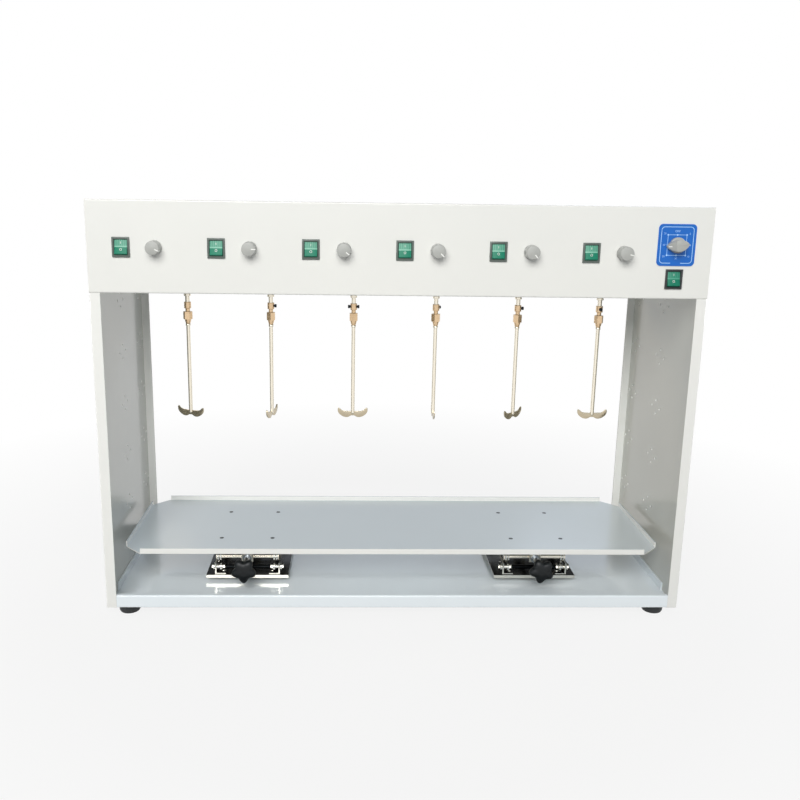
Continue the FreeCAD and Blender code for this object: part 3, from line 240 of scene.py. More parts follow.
def green_lens(name, crease, low, high, band):
    """Clear plastic, moulded with upright ribs above its crease. The upper half is painted lighter through the
    ribs as a painted reflection, and the crest is a painted highlight.
    """
    material, tree, shader, place = start_material(
        name, IOR=1.58, Specular_IOR_Level=0.16, Emission_Strength=0.01,
        Emission_Color=colour("#1fbf92"))
    cloud = grain(tree, place, 3.5, detail=2)
    above = calculated(tree, "SUBTRACT", share_along(tree, "Z", place), crease)
    ribs = add_node(tree, "TexWave", {
        "Vector": place, "Scale": WAVE_LENGTH / (RIB_PITCH * MM), "Distortion": 0.4},
        bands_direction="X").outputs["Fac"]
    # The upper half starts at the crease, and the painted highlight of the crest fades out over it
    upper = ranged(tree, above, -0.2 * MM, 0.3 * MM)
    ribbed = calculated(tree, "MULTIPLY", upper, ranged(tree, ribs, low=0.2, high=0.6))
    crest_highlight = calculated(tree, "MULTIPLY", ranged(tree, above, 2.6 * MM, 0.9 * MM), upper)
    # Painted reflection and painted highlight: the ribbed upper half and the crest take the band colour
    painted_light = calculated(tree, "MAXIMUM", ribbed, crest_highlight)
    paint(tree, shader, painted_light, mixed(tree, cloud, low, high), band)
    roughen(tree, shader, cloud, 0.3, 0.42)
    return material


# %% [markdown]
# ## Metals
# A metal's colour is its reflection, so its finish is told by roughness and by fine lines. Turned
# brass has rings about its axis, a drawn rod has lines along it, and zinc plate has a cloudy grain.

# %% Metals


def turned_brass():
    material, tree, shader, place = start_material("turned_brass", Metallic=1.0)
    rings = grain(tree, place, 0.9, stretch=(0.05, 0.05, 1))
    paint(tree, shader, grain(tree, place, 3), "#dcb98f", "#edd2ae")
    roughen(tree, shader, rings, 0.2, 0.36)
    raise_bumps(tree, shader, rings, 0.01)
    return material


def drawn_steel(name, low, high, stretch):
    """Stainless steel with drawing lines, which run along the axis whose stretch is small."""
    material, tree, shader, place = start_material(name, Metallic=1.0)
    lines = grain(tree, place, 0.7, stretch=stretch)
    paint(tree, shader, grain(tree, place, 18), low, high)
    roughen(tree, shader, lines, 0.16, 0.3)
    raise_bumps(tree, shader, lines, 0.004)
    return material


def zinc_plate():
    """Bright zinc, nearly a mirror. What faces up low down is painted dark, as a painted reflection of the tray's
    dark underside.
    """
    material, tree, shader, place = start_material("zinc_plate", Metallic=1.0)
    faces_up = ranged(tree, facing_along(tree, "Z"), 0.6, 0.9)
    low_down = ranged(tree, share_along(tree, "Z", place), 45 * MM, 40 * MM)
    # Painted reflection: faces that look up, low down, get a near-black colour
    painted_reflection = calculated(tree, "MULTIPLY", faces_up, low_down)
    paint(tree, shader, painted_reflection, "#e0ddd4", "#181b1c")
    multiply_tint(tree, shader, grain(tree, place, 14, detail=2), "#e9e8e4")
    roughen(tree, shader, grain(tree, place, 6), 0.1, 0.2)
    raise_bumps(tree, shader, grain(tree, place, 3), 0.003)
    return material


def arm_steel():
    """Plated arms. The pin that crosses each jack is painted black between its arms: painted shade, where it lies
    in the dark.
    """
    material, tree, shader, place = start_material("arm_steel", Metallic=1.0)
    either_side = calculated(tree, "ABSOLUTE", share_along(tree, "X", place))
    jack_x = joint_places["right_screw_turn"].x
    from_jack = calculated(tree, "ABSOLUTE", calculated(tree, "SUBTRACT", either_side, jack_x))
    # Painted shade: the pin between the arms gets a near-black colour
    painted_shade_on_pin = ranged(tree, from_jack, 33.2 * MM, 33 * MM)
    lines = grain(tree, place, 0.9, stretch=(1, 0.06, 1))
    paint(tree, shader, painted_shade_on_pin, "#d6d5cf", "#161819")
    roughen(tree, shader, lines, 0.16, 0.3)
    raise_bumps(tree, shader, lines, 0.003)
    return material


# %% Make the finishes
ENAMEL = white_enamel("white_enamel", "#eeeeea", "#e8e9e6", gloss=0.25)
# The pan's whites are lighter and bluer than the frame's: painted light, for the bright bluish light on the pan
PAN_ENAMEL_PAINTED_LIGHT = white_enamel("pan_enamel_painted_light", "#f1f8fd", "#ecf5fb", gloss=0.8)
TRAY_ENAMEL_PAINTED_SHADE = tray_enamel_with_painted_shade()
SIDE_ENAMEL_PAINTED_SHADE = side_enamel_with_painted_shade()
RUBBER = plain_finish("black_rubber", "#1b1d1e", "#2c2f30", (4, 1.5, 0.8), (0.55, 0.8), 0.03,
                      IOR=1.52)
BEZEL = plain_finish("bezel_abs", "#505a55", "#5c6660", (6, 2, 0.5), (0.22, 0.38), 0.008,
                     IOR=1.54)
BLACK_ABS = plain_finish("black_abs", "#1d2021", "#272a2b", (6, 2, 0.5), (0.22, 0.38), 0.008,
                         IOR=1.54)
STAR = plain_finish("star_plastic", "#06090a", "#0b1012", (9, 3, 0.6), (0.36, 0.5), 0.012,
                    IOR=1.5, Specular_IOR_Level=0.36)
KNOB = plain_finish("grey_knob", "#a7a9a6", "#b5b6b2", (5, 1.2, 0.4), (0.38, 0.52), 0.01,
                    IOR=1.52)
DIAL_BLUE = plain_finish("dial_blue", "#0a60bf", "#116cc9", (7, 2), (0.25, 0.37), IOR=1.5)
DIAL_LINE = plain_finish("dial_line", "#9fd0ff", "#b9deff", (7, 2), (0.35, 0.47), IOR=1.5)
MARK_WHITE = plain_finish("mark_white", "#f4f5f2", "#e9eae6", (7, 2), (0.4, 0.52), IOR=1.5)
BLACK_OXIDE = plain_finish("black_oxide", "#2b2d30", "#3a3d40", (2, 1), (0.3, 0.45),
                           Metallic=1.0)
# The last colour of each lens is its painted reflection and highlight
LENS = green_lens("green_lens", joint_places["station_switch_1_tilt"].z,
                  "#1c7a60", "#25866b", "#8fcab4")
MASTER_LENS = green_lens("master_lens", joint_places["master_switch_tilt"].z,
                         "#187259", "#238068", "#5aa68e")
BRASS = turned_brass()
ROD_STEEL = drawn_steel("drawn_rod", "#fbf3e2", "#f1e8d6", (1, 1, 0.04))
BLADE_STEEL = drawn_steel("brushed_blade", "#cfc2a8", "#b8ac95", (0.06, 0.06, 1))
BAR_STEEL = drawn_steel("ground_bar", "#c4c7c8", "#b0b4b6", (0.04, 1, 1))
ZINC = zinc_plate()
ARM_STEEL = arm_steel()
print(len(bpy.data.materials), "finishes made")

# %% [markdown]
# ## Finishes on the ready parts
# Most parts already have their right shape. Each only needs its finish in its material slot: the
# usual one of its slot, or its own.

# %% Finish the ready parts
SLOT_FINISHES = {
    "white_enamel": ENAMEL, "black_rubber": RUBBER, "black_plastic": BLACK_ABS,
    "lit_rocker": LENS, "grey_knob": KNOB, "dial_blue": DIAL_BLUE, "brass": BRASS,
    "steel": ROD_STEEL, "zinc": ZINC, "star_plastic": STAR}
NODE_FINISHES = {
    "tray_screws": BLACK_OXIDE, "base_pan": PAN_ENAMEL_PAINTED_LIGHT, "tray": TRAY_ENAMEL_PAINTED_SHADE,
    "left_side_panel": SIDE_ENAMEL_PAINTED_SHADE, "right_side_panel": SIDE_ENAMEL_PAINTED_SHADE}
slot_of = {part["node"]: part["material_slot"] for part in frame["record"]["subparts"]}
for name, part in frame["nodes"].items():
    usual = ARM_STEEL if name.endswith("_arms") else SLOT_FINISHES[slot_of[name]]
    part.data.materials.clear()
    part.data.materials.append(NODE_FINISHES.get(name, usual))

# %% [markdown]
# ## Tools for new pieces
# Each new piece starts from a few points or a primitive, and bmesh operators turn it into the
# shape: a lathe for round things, insets and extrusions for housings, and a bevelled block for the
# rest. When it is in place it gets its finish, and then it rides on the body that carries it.

# %% Modelling helpers
FACING_FRONT = Matrix.Rotation(math.pi / 2, 4, "X")
FACING_BACK = Matrix.Rotation(-math.pi / 2, 4, "X")
FACING_RIGHT = Matrix.Rotation(math.pi / 2, 4, "Y")


def about_z(degrees):
    return Matrix.Rotation(math.radians(degrees), 4, "Z")


def everything(shape):
    return shape.verts[:] + shape.edges[:] + shape.faces[:]


def moved(shape, place=(0, 0, 0), turn=None):
    """Turn a shape about zero and then put it in its place."""
    matrix = Matrix.Translation(place) @ (turn or Matrix())
    bmesh.ops.transform(shape, matrix=matrix, verts=shape.verts)
    return shape


def bevelled(shape, width, segments=2, edges=None):
    """Round the edges, all of them where none are named. The width is in millimetres."""
    bmesh.ops.bevel(shape, geom=edges or shape.edges[:], offset=width * MM,
                    offset_type="OFFSET", segments=segments, profile=0.5, affect="EDGES",
                    material=-1, clamp_overlap=True)
    return shape


def creased(shape, degrees):
    """The edges whose faces turn by more than an angle."""
    return [edge for edge in shape.edges if edge.calc_face_angle(0) > math.radians(degrees)]


def upright(shape):
    """The edges that run along Z."""
    return [edge for edge in shape.edges
            if abs(edge.verts[0].co.z - edge.verts[1].co.z) > 0.5 * MM]


def turned(outline, steps=48):
    """A solid of revolution about Z. The outline is in millimetres, as (radius, height)."""
    shape = bmesh.new()
    points = [shape.verts.new((radius * MM, 0, height * MM)) for radius, height in outline]
    edges = [shape.edges.new(pair) for pair in zip(points, points[1:])]
    bmesh.ops.spin(shape, geom=points + edges, cent=(0, 0, 0), axis=(0, 0, 1),
                   angle=2 * math.pi, steps=steps, use_merge=True)
    bmesh.ops.remove_doubles(shape, verts=shape.verts, dist=CLOSE)
    return shape


def block(wide, deep, tall):
    """A block about zero, in millimetres."""
    shape = bmesh.new()
    scale = Matrix.Diagonal((wide * MM, deep * MM, tall * MM, 1))
    bmesh.ops.create_cube(shape, size=1, matrix=scale)
    return shape


def polygon_disc(sides, radius):
    """A flat polygon about zero, in the XY plane."""
    shape = bmesh.new()
    bmesh.ops.create_circle(shape, cap_ends=True, segments=sides, radius=radius * MM)
    return shape


def raised(shape, tall):
    """Give a flat shape its thickness along Z."""
    faces = shape.faces[:]
    made = bmesh.ops.extrude_face_region(shape, geom=faces, use_keep_orig=True)["geom"]
    upper = [item for item in made if isinstance(item, bmesh.types.BMVert)]
    bmesh.ops.translate(shape, vec=(0, 0, tall * MM), verts=upper)
    return shape


def facing(shape, direction):
    """The faces that look one way."""
    return [face for face in shape.faces if face.normal.dot(Vector(direction)) > 0.999]


def grown(shape, faces, along):
    """Extrude faces of a solid by a vector in millimetres."""
    made = bmesh.ops.extrude_face_region(shape, geom=faces)["geom"]
    verts = [item for item in made if isinstance(item, bmesh.types.BMVert)]
    bmesh.ops.translate(shape, vec=Vector(along) * MM, verts=verts)
    bmesh.ops.delete(shape, geom=faces, context="FACES_ONLY")


def inset(shape, faces, thickness, depth=0.0):
    """Step a face inwards, in millimetres, and return the face that is left in the middle."""
    bmesh.ops.inset_region(shape, faces=faces, thickness=thickness * MM, depth=depth * MM,
                           use_even_offset=True)
    return faces


def cut_away(shape, place, outward):
    """Cut off what lies beyond a plane, and close the cut."""
    cut = bmesh.ops.bisect_plane(shape, geom=everything(shape), plane_co=place,
                                 plane_no=outward, clear_outer=True)
    rim = [item for item in cut["geom_cut"] if isinstance(item, bmesh.types.BMEdge)]
    bmesh.ops.edgeloop_fill(shape, edges=rim)
    return shape


def joined(*shapes):
    """Several shapes in one."""
    whole = bmesh.new()
    for shape in shapes:
        mesh = bpy.data.meshes.new("part")
        shape.to_mesh(mesh)
        shape.free()
        whole.from_mesh(mesh)
        bpy.data.meshes.remove(mesh)
    return whole


def make_piece(name, shape, body, finish, crease=35):
    """Turn a shape into a piece that is smooth between its creases and rides on a body."""
    bmesh.ops.recalc_face_normals(shape, faces=shape.faces)
    mesh = bpy.data.meshes.new(name)
    shape.to_mesh(mesh)
    shape.free()
    mesh.materials.append(finish)
    mesh.shade_smooth()
    mesh.set_sharp_from_angle(angle=math.radians(crease))
    piece = bpy.data.objects.new(name, mesh)
    bpy.context.scene.collection.objects.link(piece)
    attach(piece, body)
    return piece


# %% [markdown]
# ## Rocker switches
# Each station has a lit rocker switch, and a seventh one is the main switch. One plate grows into
# the whole housing: insets step in to the mouth and slope down into it, and extrusions make the
# pocket and the body behind the panel. The lens is a drum about its pivot, cut to a shallow V
# and tipped so that its upper half is pressed in.

# %% Switch bezels and lenses
STATIONS = range(1, 7)
PANEL_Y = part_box("head_shell")[0].y
BEZEL_WIDE, BEZEL_TALL, BEZEL_THICK, BEZEL_ROUND = 21, 24, 2, 0.5
RIM, MOUTH_SLOPE, MOUTH_DROP, MOUTH_TALL = 2.1, 0.6, 0.8, 18.2
POCKET_DEEP, HOUSING_STEP, HOUSING_DEEP = 12.0, 1.3, 22
DRUM, LENS_WIDE, LENS_FRONT, LENS_DIP, LENS_BACK, LENS_ROUND = 9.6, 15, 4.3, 0.9, 3, 0.35
TIPPED = Matrix.Rotation(math.radians(-11), 4, "X")
BAR_TALL, BAR_UP, RING_INNER, RING_OUTER, RING_DOWN = 2.6, 4.6, 1.1, 1.5, 3.4
MARK_WIDE, MARK_HALF_THICK = 0.45, 0.05


def switch_bezel(pivot):
    shape = moved(block(BEZEL_WIDE, BEZEL_TALL, BEZEL_THICK), (0, 0, BEZEL_THICK / 2 * MM))
    shape.normal_update()
    corners = upright(shape)
    front, back = facing(shape, (0, 0, 1)), facing(shape, (0, 0, -1))
    rim = list(front[0].edges)
    mouth = inset(shape, front, RIM)
    mouth = inset(shape, mouth, MOUTH_SLOPE, -MOUTH_DROP)
    tall_now = BEZEL_TALL - 2 * (RIM + MOUTH_SLOPE)
    bmesh.ops.scale(shape, vec=(1, MOUTH_TALL / tall_now, 1), verts=mouth[0].verts)
    grown(shape, mouth, (0, 0, -POCKET_DEEP))
    grown(shape, inset(shape, back, HOUSING_STEP), (0, 0, -HOUSING_DEEP))
    bevelled(shape, BEZEL_ROUND, 3, corners + rim)
    return moved(shape, (pivot.x, PANEL_Y, pivot.z), FACING_FRONT)


def lens_drum():
    """The lens about its pivot, not tipped yet, with its front towards -Y."""
    shape = moved(raised(polygon_disc(64, DRUM), LENS_WIDE), (-LENS_WIDE / 2 * MM, 0, 0),
                  FACING_RIGHT)
    cut_away(shape, (0, -LENS_FRONT * MM, 0), (0, -1, 0))
    cut_away(shape, (0, LENS_BACK * MM, 0), (0, 1, 0))
    bmesh.ops.bisect_plane(shape, geom=everything(shape), plane_co=(0, 0, 0),
                           plane_no=(0, 0, 1))
    crease = [vert for vert in shape.verts if abs(vert.co.z) < CLOSE and vert.co.y < -MM]
    bmesh.ops.translate(shape, vec=(0, LENS_DIP * MM, 0), verts=crease)
    shape.normal_update()
    return bevelled(shape, LENS_ROUND, 2, creased(shape, 30))


def lens_marks():
    """The line over the ring, printed on the two slopes of the lens."""
    slope = math.atan2(LENS_DIP, math.sqrt(DRUM ** 2 - LENS_FRONT ** 2))
    line = moved(block(MARK_WIDE, 2 * MARK_HALF_THICK, BAR_TALL), (0, 0, BAR_UP * MM))
    ring = turned([(RING_INNER, -MARK_HALF_THICK), (RING_OUTER, -MARK_HALF_THICK),
                   (RING_OUTER, MARK_HALF_THICK), (RING_INNER, MARK_HALF_THICK),
                   (RING_INNER, -MARK_HALF_THICK)], steps=28)
    moved(ring, (0, 0, -RING_DOWN * MM), FACING_FRONT)
    crease = (0, (LENS_DIP - LENS_FRONT) * MM, 0)
    return joined(moved(line, crease, Matrix.Rotation(slope, 4, "X")),
                  moved(ring, crease, Matrix.Rotation(-slope, 4, "X")))


def fit_switch(body, node, finish=LENS):
    """Hang a lens with its marks in place of the plain rocker, and return its bezel."""
    pivot = joint_places[f"{body}_tilt"]
    lens = make_piece(f"{body}_lens", moved(lens_drum(), pivot, TIPPED), body, finish)
    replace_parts(lens, node)
    make_piece(f"{body}_marks", moved(lens_marks(), pivot, TIPPED), body, MARK_WHITE)
    return switch_bezel(pivot)


station_bezels = joined(*(
    fit_switch(f"station_switch_{number}", f"rocker_{number}") for number in STATIONS))
bezels = make_piece("switch_bezels", station_bezels, "frame", BEZEL)
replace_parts(bezels, "switch_housings")
make_piece("master_bezel", fit_switch("master_switch", "master_rocker", MASTER_LENS), "frame",
           BLACK_ABS)
print(len(STATIONS) + 1, "switches fitted")

# %% [markdown]
# ## Speed knobs
# The knobs are moulded with fine ribs for the fingers, a bevelled face and a white line that
# runs from the face over its edge. A lathe makes the body, and every rib is a small wave in its
# radius.

# %% Speed knobs
KNOB_BASE, KNOB_FACE, KNOB_DEEP, KNOB_GAP = 8.8, 8.3, 15.0, 0.8
RIBS, RIB_DEEP, STEPS_PER_RIB = 36, 0.16, 4
LINE_START, LINE_WIDE, LINE_THICK, LINE_DOWN, LINE_MIDDLE = 3.2, 1.3, 0.3, 5, 3.2
# Where each white line points, in degrees clockwise from three o'clock
POINTER_TURNS = [25, 0, 40, 45, 50, 15]


def ribbed_knob():
    shape = turned([(0, KNOB_GAP), (KNOB_BASE, KNOB_GAP), (KNOB_BASE, 2), (KNOB_FACE, 14.2),
                    (KNOB_FACE - 0.25, 14.7), (KNOB_FACE - 0.8, KNOB_DEEP), (0, KNOB_DEEP)],
                   steps=RIBS * STEPS_PER_RIB)
    for vert in shape.verts:
        radius = vert.co.xy.length
        if radius > (KNOB_FACE - 0.1) * MM and vert.co.z > MM:
            wave = math.cos(RIBS * math.atan2(vert.co.y, vert.co.x))
            vert.co.xy *= 1 + (wave - 1) / 2 * RIB_DEEP * MM / radius
    return shape


def pointer_line():
    """One bar on the face and one down the side, each nearly all sunk in the knob."""
    face = moved(block(KNOB_FACE - LINE_START - 0.1, LINE_WIDE, LINE_THICK),
                 ((KNOB_FACE + LINE_START) / 2 * MM, 0, (KNOB_DEEP - 0.1) * MM))
    side = moved(block(LINE_THICK, LINE_WIDE, LINE_DOWN),
                 ((KNOB_FACE - 0.02) * MM, 0, (KNOB_DEEP - LINE_MIDDLE) * MM))
    return joined(face, side)


for number in STATIONS:
    body = f"speed_dial_{number}"
    axis = joint_places[f"{body}_turn"]
    place = (axis.x, PANEL_Y, axis.z)
    turn = FACING_FRONT @ about_z(-POINTER_TURNS[number - 1])
    knob = make_piece(f"speed_knob_{number}_body", moved(ribbed_knob(), place, turn), body,
                      KNOB, crease=50)
    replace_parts(knob, f"speed_knob_{number}")
    make_piece(f"speed_knob_{number}_line", moved(pointer_line(), place, turn), body,
               MARK_WHITE)

# %% [markdown]
# ## Timer
# The timer has a round skirt and a pointed grip whose pointer end slopes down to the dial. Behind
# it is a blue dial plate, printed with a border, a square line and plain numbers. The print is
# real geometry, a few hundredths of a millimetre proud, so that it stays sharp.

# %% Timer knob
TIMER = joint_places["timer_dial_turn"]
TIMER_TURN = -9
GRIP_TIP, GRIP_TAIL, GRIP_HALF, GRIP_FACE, GRIP_ROUND = 13.0, 9.7, 6.8, 5.5, 0.45
TIMER_DEEP, SKIRT_LOW, SKIRT_HIGH = 17.0, 1.8, 6.3
TIP_HEIGHT = (SKIRT_LOW + SKIRT_HIGH) / 2
SLOPE_RUN, SLOPE_RISE = GRIP_TIP - GRIP_FACE, TIMER_DEEP - TIP_HEIGHT
POINTER_LONG, POINTER_WIDE, POINTER_THICK, POINTER_FROM_TIP = 5.5, 1.3, 0.16, 2.6


def pointed_grip():
    """A prism over two arcs that meet in points, sloped at the pointer end."""
    half = (GRIP_TIP + GRIP_TAIL) / 2
    middle = (GRIP_TAIL - GRIP_TIP) / 2
    radius = (half ** 2 + GRIP_HALF ** 2) / (2 * GRIP_HALF)
    shape = raised(polygon_disc(120, radius), TIMER_DEEP - SKIRT_LOW)
    moved(shape, (middle * MM, (GRIP_HALF - radius) * MM, SKIRT_LOW * MM))
    cut_away(shape, (0, 0, 0), (0, -1, 0))
    flat_side = [face for face in shape.faces if abs(face.calc_center_median().y) < CLOSE]
    bmesh.ops.delete(shape, geom=flat_side, context="FACES")
    bmesh.ops.mirror(shape, geom=everything(shape), axis="Y", merge_dist=CLOSE)
    bmesh.ops.dissolve_limit(shape, angle_limit=0.01, verts=shape.verts, edges=shape.edges)
    cut_away(shape, (-GRIP_FACE * MM, 0, TIMER_DEEP * MM), (-SLOPE_RISE, 0, SLOPE_RUN))
    return bevelled(shape, GRIP_ROUND, 3, creased(shape, 25))


skirt = turned([(0, SKIRT_LOW), (9.4, SKIRT_LOW), (9.4, 5.7), (9.2, 6.15), (8.8, SKIRT_HIGH),
                (0, SKIRT_HIGH)], steps=72)
timer_place = (TIMER.x, PANEL_Y, TIMER.z)
timer_facing = FACING_FRONT @ about_z(-TIMER_TURN)
grip_shape = moved(joined(skirt, pointed_grip()), timer_place, timer_facing)
grip = make_piece("timer_knob_grip", grip_shape, "timer_dial", KNOB)
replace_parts(grip, "timer_knob")
slope_turn = Matrix.Rotation(-math.atan2(SLOPE_RISE, SLOPE_RUN), 4, "Y")
pointer_height = TIP_HEIGHT + POINTER_FROM_TIP * SLOPE_RISE / SLOPE_RUN
pointer = moved(block(POINTER_LONG, POINTER_WIDE, POINTER_THICK),
                (-(GRIP_TIP - POINTER_FROM_TIP) * MM, 0, pointer_height * MM), slope_turn)
make_piece("timer_knob_line", moved(pointer, timer_place, timer_facing), "timer_dial",
           MARK_WHITE)

# %% Timer dial print
INK = 0.06
PLATE_WIDE, PLATE_TALL, PLATE_THICK, PLATE_CORNER = 46, 50, 1, 5
plate = block(PLATE_WIDE, PLATE_TALL, PLATE_THICK)
bevelled(plate, PLATE_CORNER, 8, upright(plate))
low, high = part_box("timer_plate")
plate_place = ((low.x + high.x) / 2, PANEL_Y - PLATE_THICK / 2 * MM, (low.z + high.z) / 2)
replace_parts(make_piece("dial_plate", moved(plate, plate_place, FACING_FRONT), "frame",
                       DIAL_BLUE), "timer_plate")


def printed(name, shape):
    """Lay a flat shape, drawn in the XY plane, on the dial plate."""
    place = (TIMER.x, PANEL_Y - (PLATE_THICK - 0.01) * MM, TIMER.z)
    return make_piece(name, moved(shape, place, FACING_FRONT), "frame", DIAL_LINE)


def printed_line(start, end, wide):
    """A straight line of ink between two places, in millimetres."""
    run = Vector(end) - Vector(start)
    middle = (Vector(end) + Vector(start)) / 2
    return moved(block(run.length + wide, wide, INK), (*(middle * MM), 0),
                 Matrix.Rotation(math.atan2(run.y, run.x), 4, "Z"))


def rounded_border(across, up, corner, wide, gap):
    """A border with round corners and a gap in its lower side, from its half width and height."""
    side, top = across - corner, up - corner
    ends = [((-side, up), (side, up)), ((-across, -top), (-across, top)),
            ((across, -top), (across, top)), ((-side, -up), (-gap, -up)),
            ((gap, -up), (side, -up))]
    lines = [printed_line(start, end, wide) for start, end in ends]
    for quarter in range(4):
        arc = bmesh.new()
        inner = arc.verts.new(((corner - wide / 2) * MM, 0, 0))
        outer = arc.verts.new(((corner + wide / 2) * MM, 0, 0))
        bmesh.ops.spin(arc, geom=[inner, outer, arc.edges.new((inner, outer))],
                       cent=(0, 0, 0), axis=(0, 0, 1), angle=math.pi / 2, steps=8)
        right = side * (1, -1, -1, 1)[quarter]
        above = top * (1, 1, -1, -1)[quarter]
        lines.append(moved(raised(arc, INK / 2), Vector((right, above, 0)) * MM,
                           Matrix.Rotation(quarter * math.pi / 2, 4, "Z")))
    return joined(*lines)


def lettering(text, size, place):
    """A word or number, centred on a place, as a mesh of thin raised letters."""
    words = bpy.data.curves.new("words", "FONT")
    words.body = text
    words.size = size * MM
    words.align_x, words.align_y = "CENTER", "CENTER"
    words.extrude = INK / 2 * MM
    holder = bpy.data.objects.new("words", words)
    mesh = bpy.data.meshes.new_from_object(holder)
    shape = bmesh.new()
    shape.from_mesh(mesh)
    bpy.data.objects.remove(holder)
    bpy.data.meshes.remove(mesh)
    return moved(shape, (place[0] * MM, place[1] * MM, 0))


# Half the width and height of the square line
ACROSS, UP = 11.4, 12.2
square = [(-ACROSS, UP), (ACROSS, UP), (ACROSS, -UP), (-ACROSS, -UP)]
ticks = square + [(0, UP), (ACROSS, 0), (0, -UP), (-ACROSS, 0)]
labels = [("OFF", 3.6, (0, 16.4)), ("5", 3, (15.2, 13.6)), ("10", 3, (15.6, 0)),
          ("15", 3, (15.2, -13.6)), ("20", 3, (0, -16)), ("25", 3, (-15.2, -13.6)),
          ("30", 3, (-15.6, 0)), ("35", 3, (-15.2, 13.6))]
printed("dial_border", rounded_border(across=19.6, up=21.6, corner=4, wide=0.75, gap=6.5))
printed("dial_square", joined(*(printed_line(start, end, 0.5)
                                for start, end in zip(square, square[1:] + square[:1]))))
printed("dial_dots", joined(*(
    moved(raised(polygon_disc(16, 1.0), INK), (x * MM, y * MM, 0)) for x, y in ticks)))
printed("dial_numbers", joined(*(lettering(*label) for label in labels)))
print(len(labels), "marks printed on the dial")

# %% [markdown]
# ## Chucks
# Each rod hangs in a small chuck below the drive spindle. From the top there is a steel washer on
# the spindle, a brass ring with a black thumb screw, a neck, a hexagon nut with its corners turned
# off, a cone and a small steel collar. Steel, brass and the screws are separate pieces, so that
# each has its own finish.

# %% Chucks
# Where each chuck stopped, in degrees about its spindle
CHUCK_TURNS = [90, 0, 0, 40, 0, -90]
HEAD_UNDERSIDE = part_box("head_shell")[0].z
RING_MIDDLE, NUT_TOP, NUT_TALL, NUT_CORNER = -28.7, -37.6, 10.2, 6.2
# How much the nut's corners lose at its ends, and how steep that cut is
CORNER_LOSS, CORNER_STEEP = 0.62, 1.7


def thumb_screw():
    """A small screw from the ring's side, along +Z."""
    return turned([(0, 3.9), (1.2, 3.9), (1.2, 5.0), (2.0, 5.0), (2.3, 5.3), (2.3, 7.4),
                   (2.0, 7.8), (0.7, 7.8), (0.6, 7.3), (0, 7.3)], steps=24)


def chuck_steel():
    spindle = turned([(0, 24), (3.5, 24), (3.5, -13.6), (4.4, -13.6), (4.7, -13.9),
                      (4.7, -16), (4.4, -16.3), (2.95, -16.3), (2.95, -24.4), (0, -24.4)])
    collar = turned([(0, -54), (2.9, -54), (3.3, -54.6), (3.3, -56.6), (2.9, -57.2),
                     (0, -57.2)])
    return joined(spindle, collar)


def chuck_screws(sides):
    return joined(*(moved(thumb_screw(), (0, 0, RING_MIDDLE * MM),
                          about_z(side) @ FACING_RIGHT) for side in sides))


def hexagon_nut():
    """A hexagon whose corners are turned off at both ends."""
    shape = raised(polygon_disc(6, NUT_CORNER), NUT_TALL)
    for side, height in ((-1, 0), (1, NUT_TALL)):
        for step in range(6):
            corner = Vector((math.cos(step * math.pi / 3), math.sin(step * math.pi / 3), 0))
            place = corner * (NUT_CORNER - CORNER_LOSS) * MM + Vector((0, 0, height * MM))
            cut_away(shape, place, corner + Vector((0, 0, side * CORNER_STEEP)))
    return moved(shape, (0, 0, (NUT_TOP - NUT_TALL) * MM))


def chuck_brass():
    ring = turned([(0, -24.4), (4.2, -24.4), (4.6, -24.8), (4.6, -32.7), (4.2, -33.1),
                   (3.3, -33.1), (3.0, -33.7), (3.0, -37.0), (3.4, -37.6), (0, -37.6)])
    low = NUT_TOP - NUT_TALL
    cone = turned([(0, low), (4.6, low), (4.4, low - 0.8), (3.0, low - 6.2),
                   (2.75, low - 6.5), (0, low - 6.5)])
    return joined(ring, hexagon_nut(), cone)


for number in STATIONS:
    body = f"spindle_{number}"
    axis = joint_places[f"{body}_spin"]
    place = (axis.x, axis.y, HEAD_UNDERSIDE)
    turn = about_z(CHUCK_TURNS[number - 1])
    steel = make_piece(f"chuck_{number}_steel", moved(chuck_steel(), place, turn), body,
                       ROD_STEEL)
    # The third chuck has a thumb screw on both sides
    sides = (0, 180) if number == 3 else (0,)
    make_piece(f"chuck_{number}_screw", moved(chuck_screws(sides), place, turn), body,
               BLACK_OXIDE)
    make_piece(f"chuck_{number}_brass", moved(chuck_brass(), place, turn), body, BRASS,
               crease=30)
    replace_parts(steel, f"chuck_{number}")

# %% [markdown]
# ## Stirrers
# A stirrer is a drawn steel rod with a flat blade of brushed sheet, whose two wings turn up at
# their ends. One wing is a polygon with most of its corners rounded by a bevel of their vertices.
# A mirror makes the other wing, and an extrusion gives the sheet its thickness.

# %% Stirrers
# Which way each blade stopped, in degrees about its rod
BLADE_TURNS = [-24, 74, 0, 90, 45, 0]
BLADE_DROP, ROD_TOP, ROD_RADIUS, SHEET, SHEET_ROUND = 184, 5, 2.6, 1.5, 0.2
# Corners of one wing, as (across, height, corner rounding)
WING = [(0, 2.7, 0), (2.4, 2.5, 1.1), (6, 0, 2.0), (12.8, 0, 4.0), (20.6, 6.2, 3.2),
        (21, 11.8, 0.8), (19.9, 13.9, 0.8), (17.5, 12.4, 0.8), (14.6, 9.3, 2.6),
        (3.4, 8.6, 1.2), (0, 8.8, 0)]


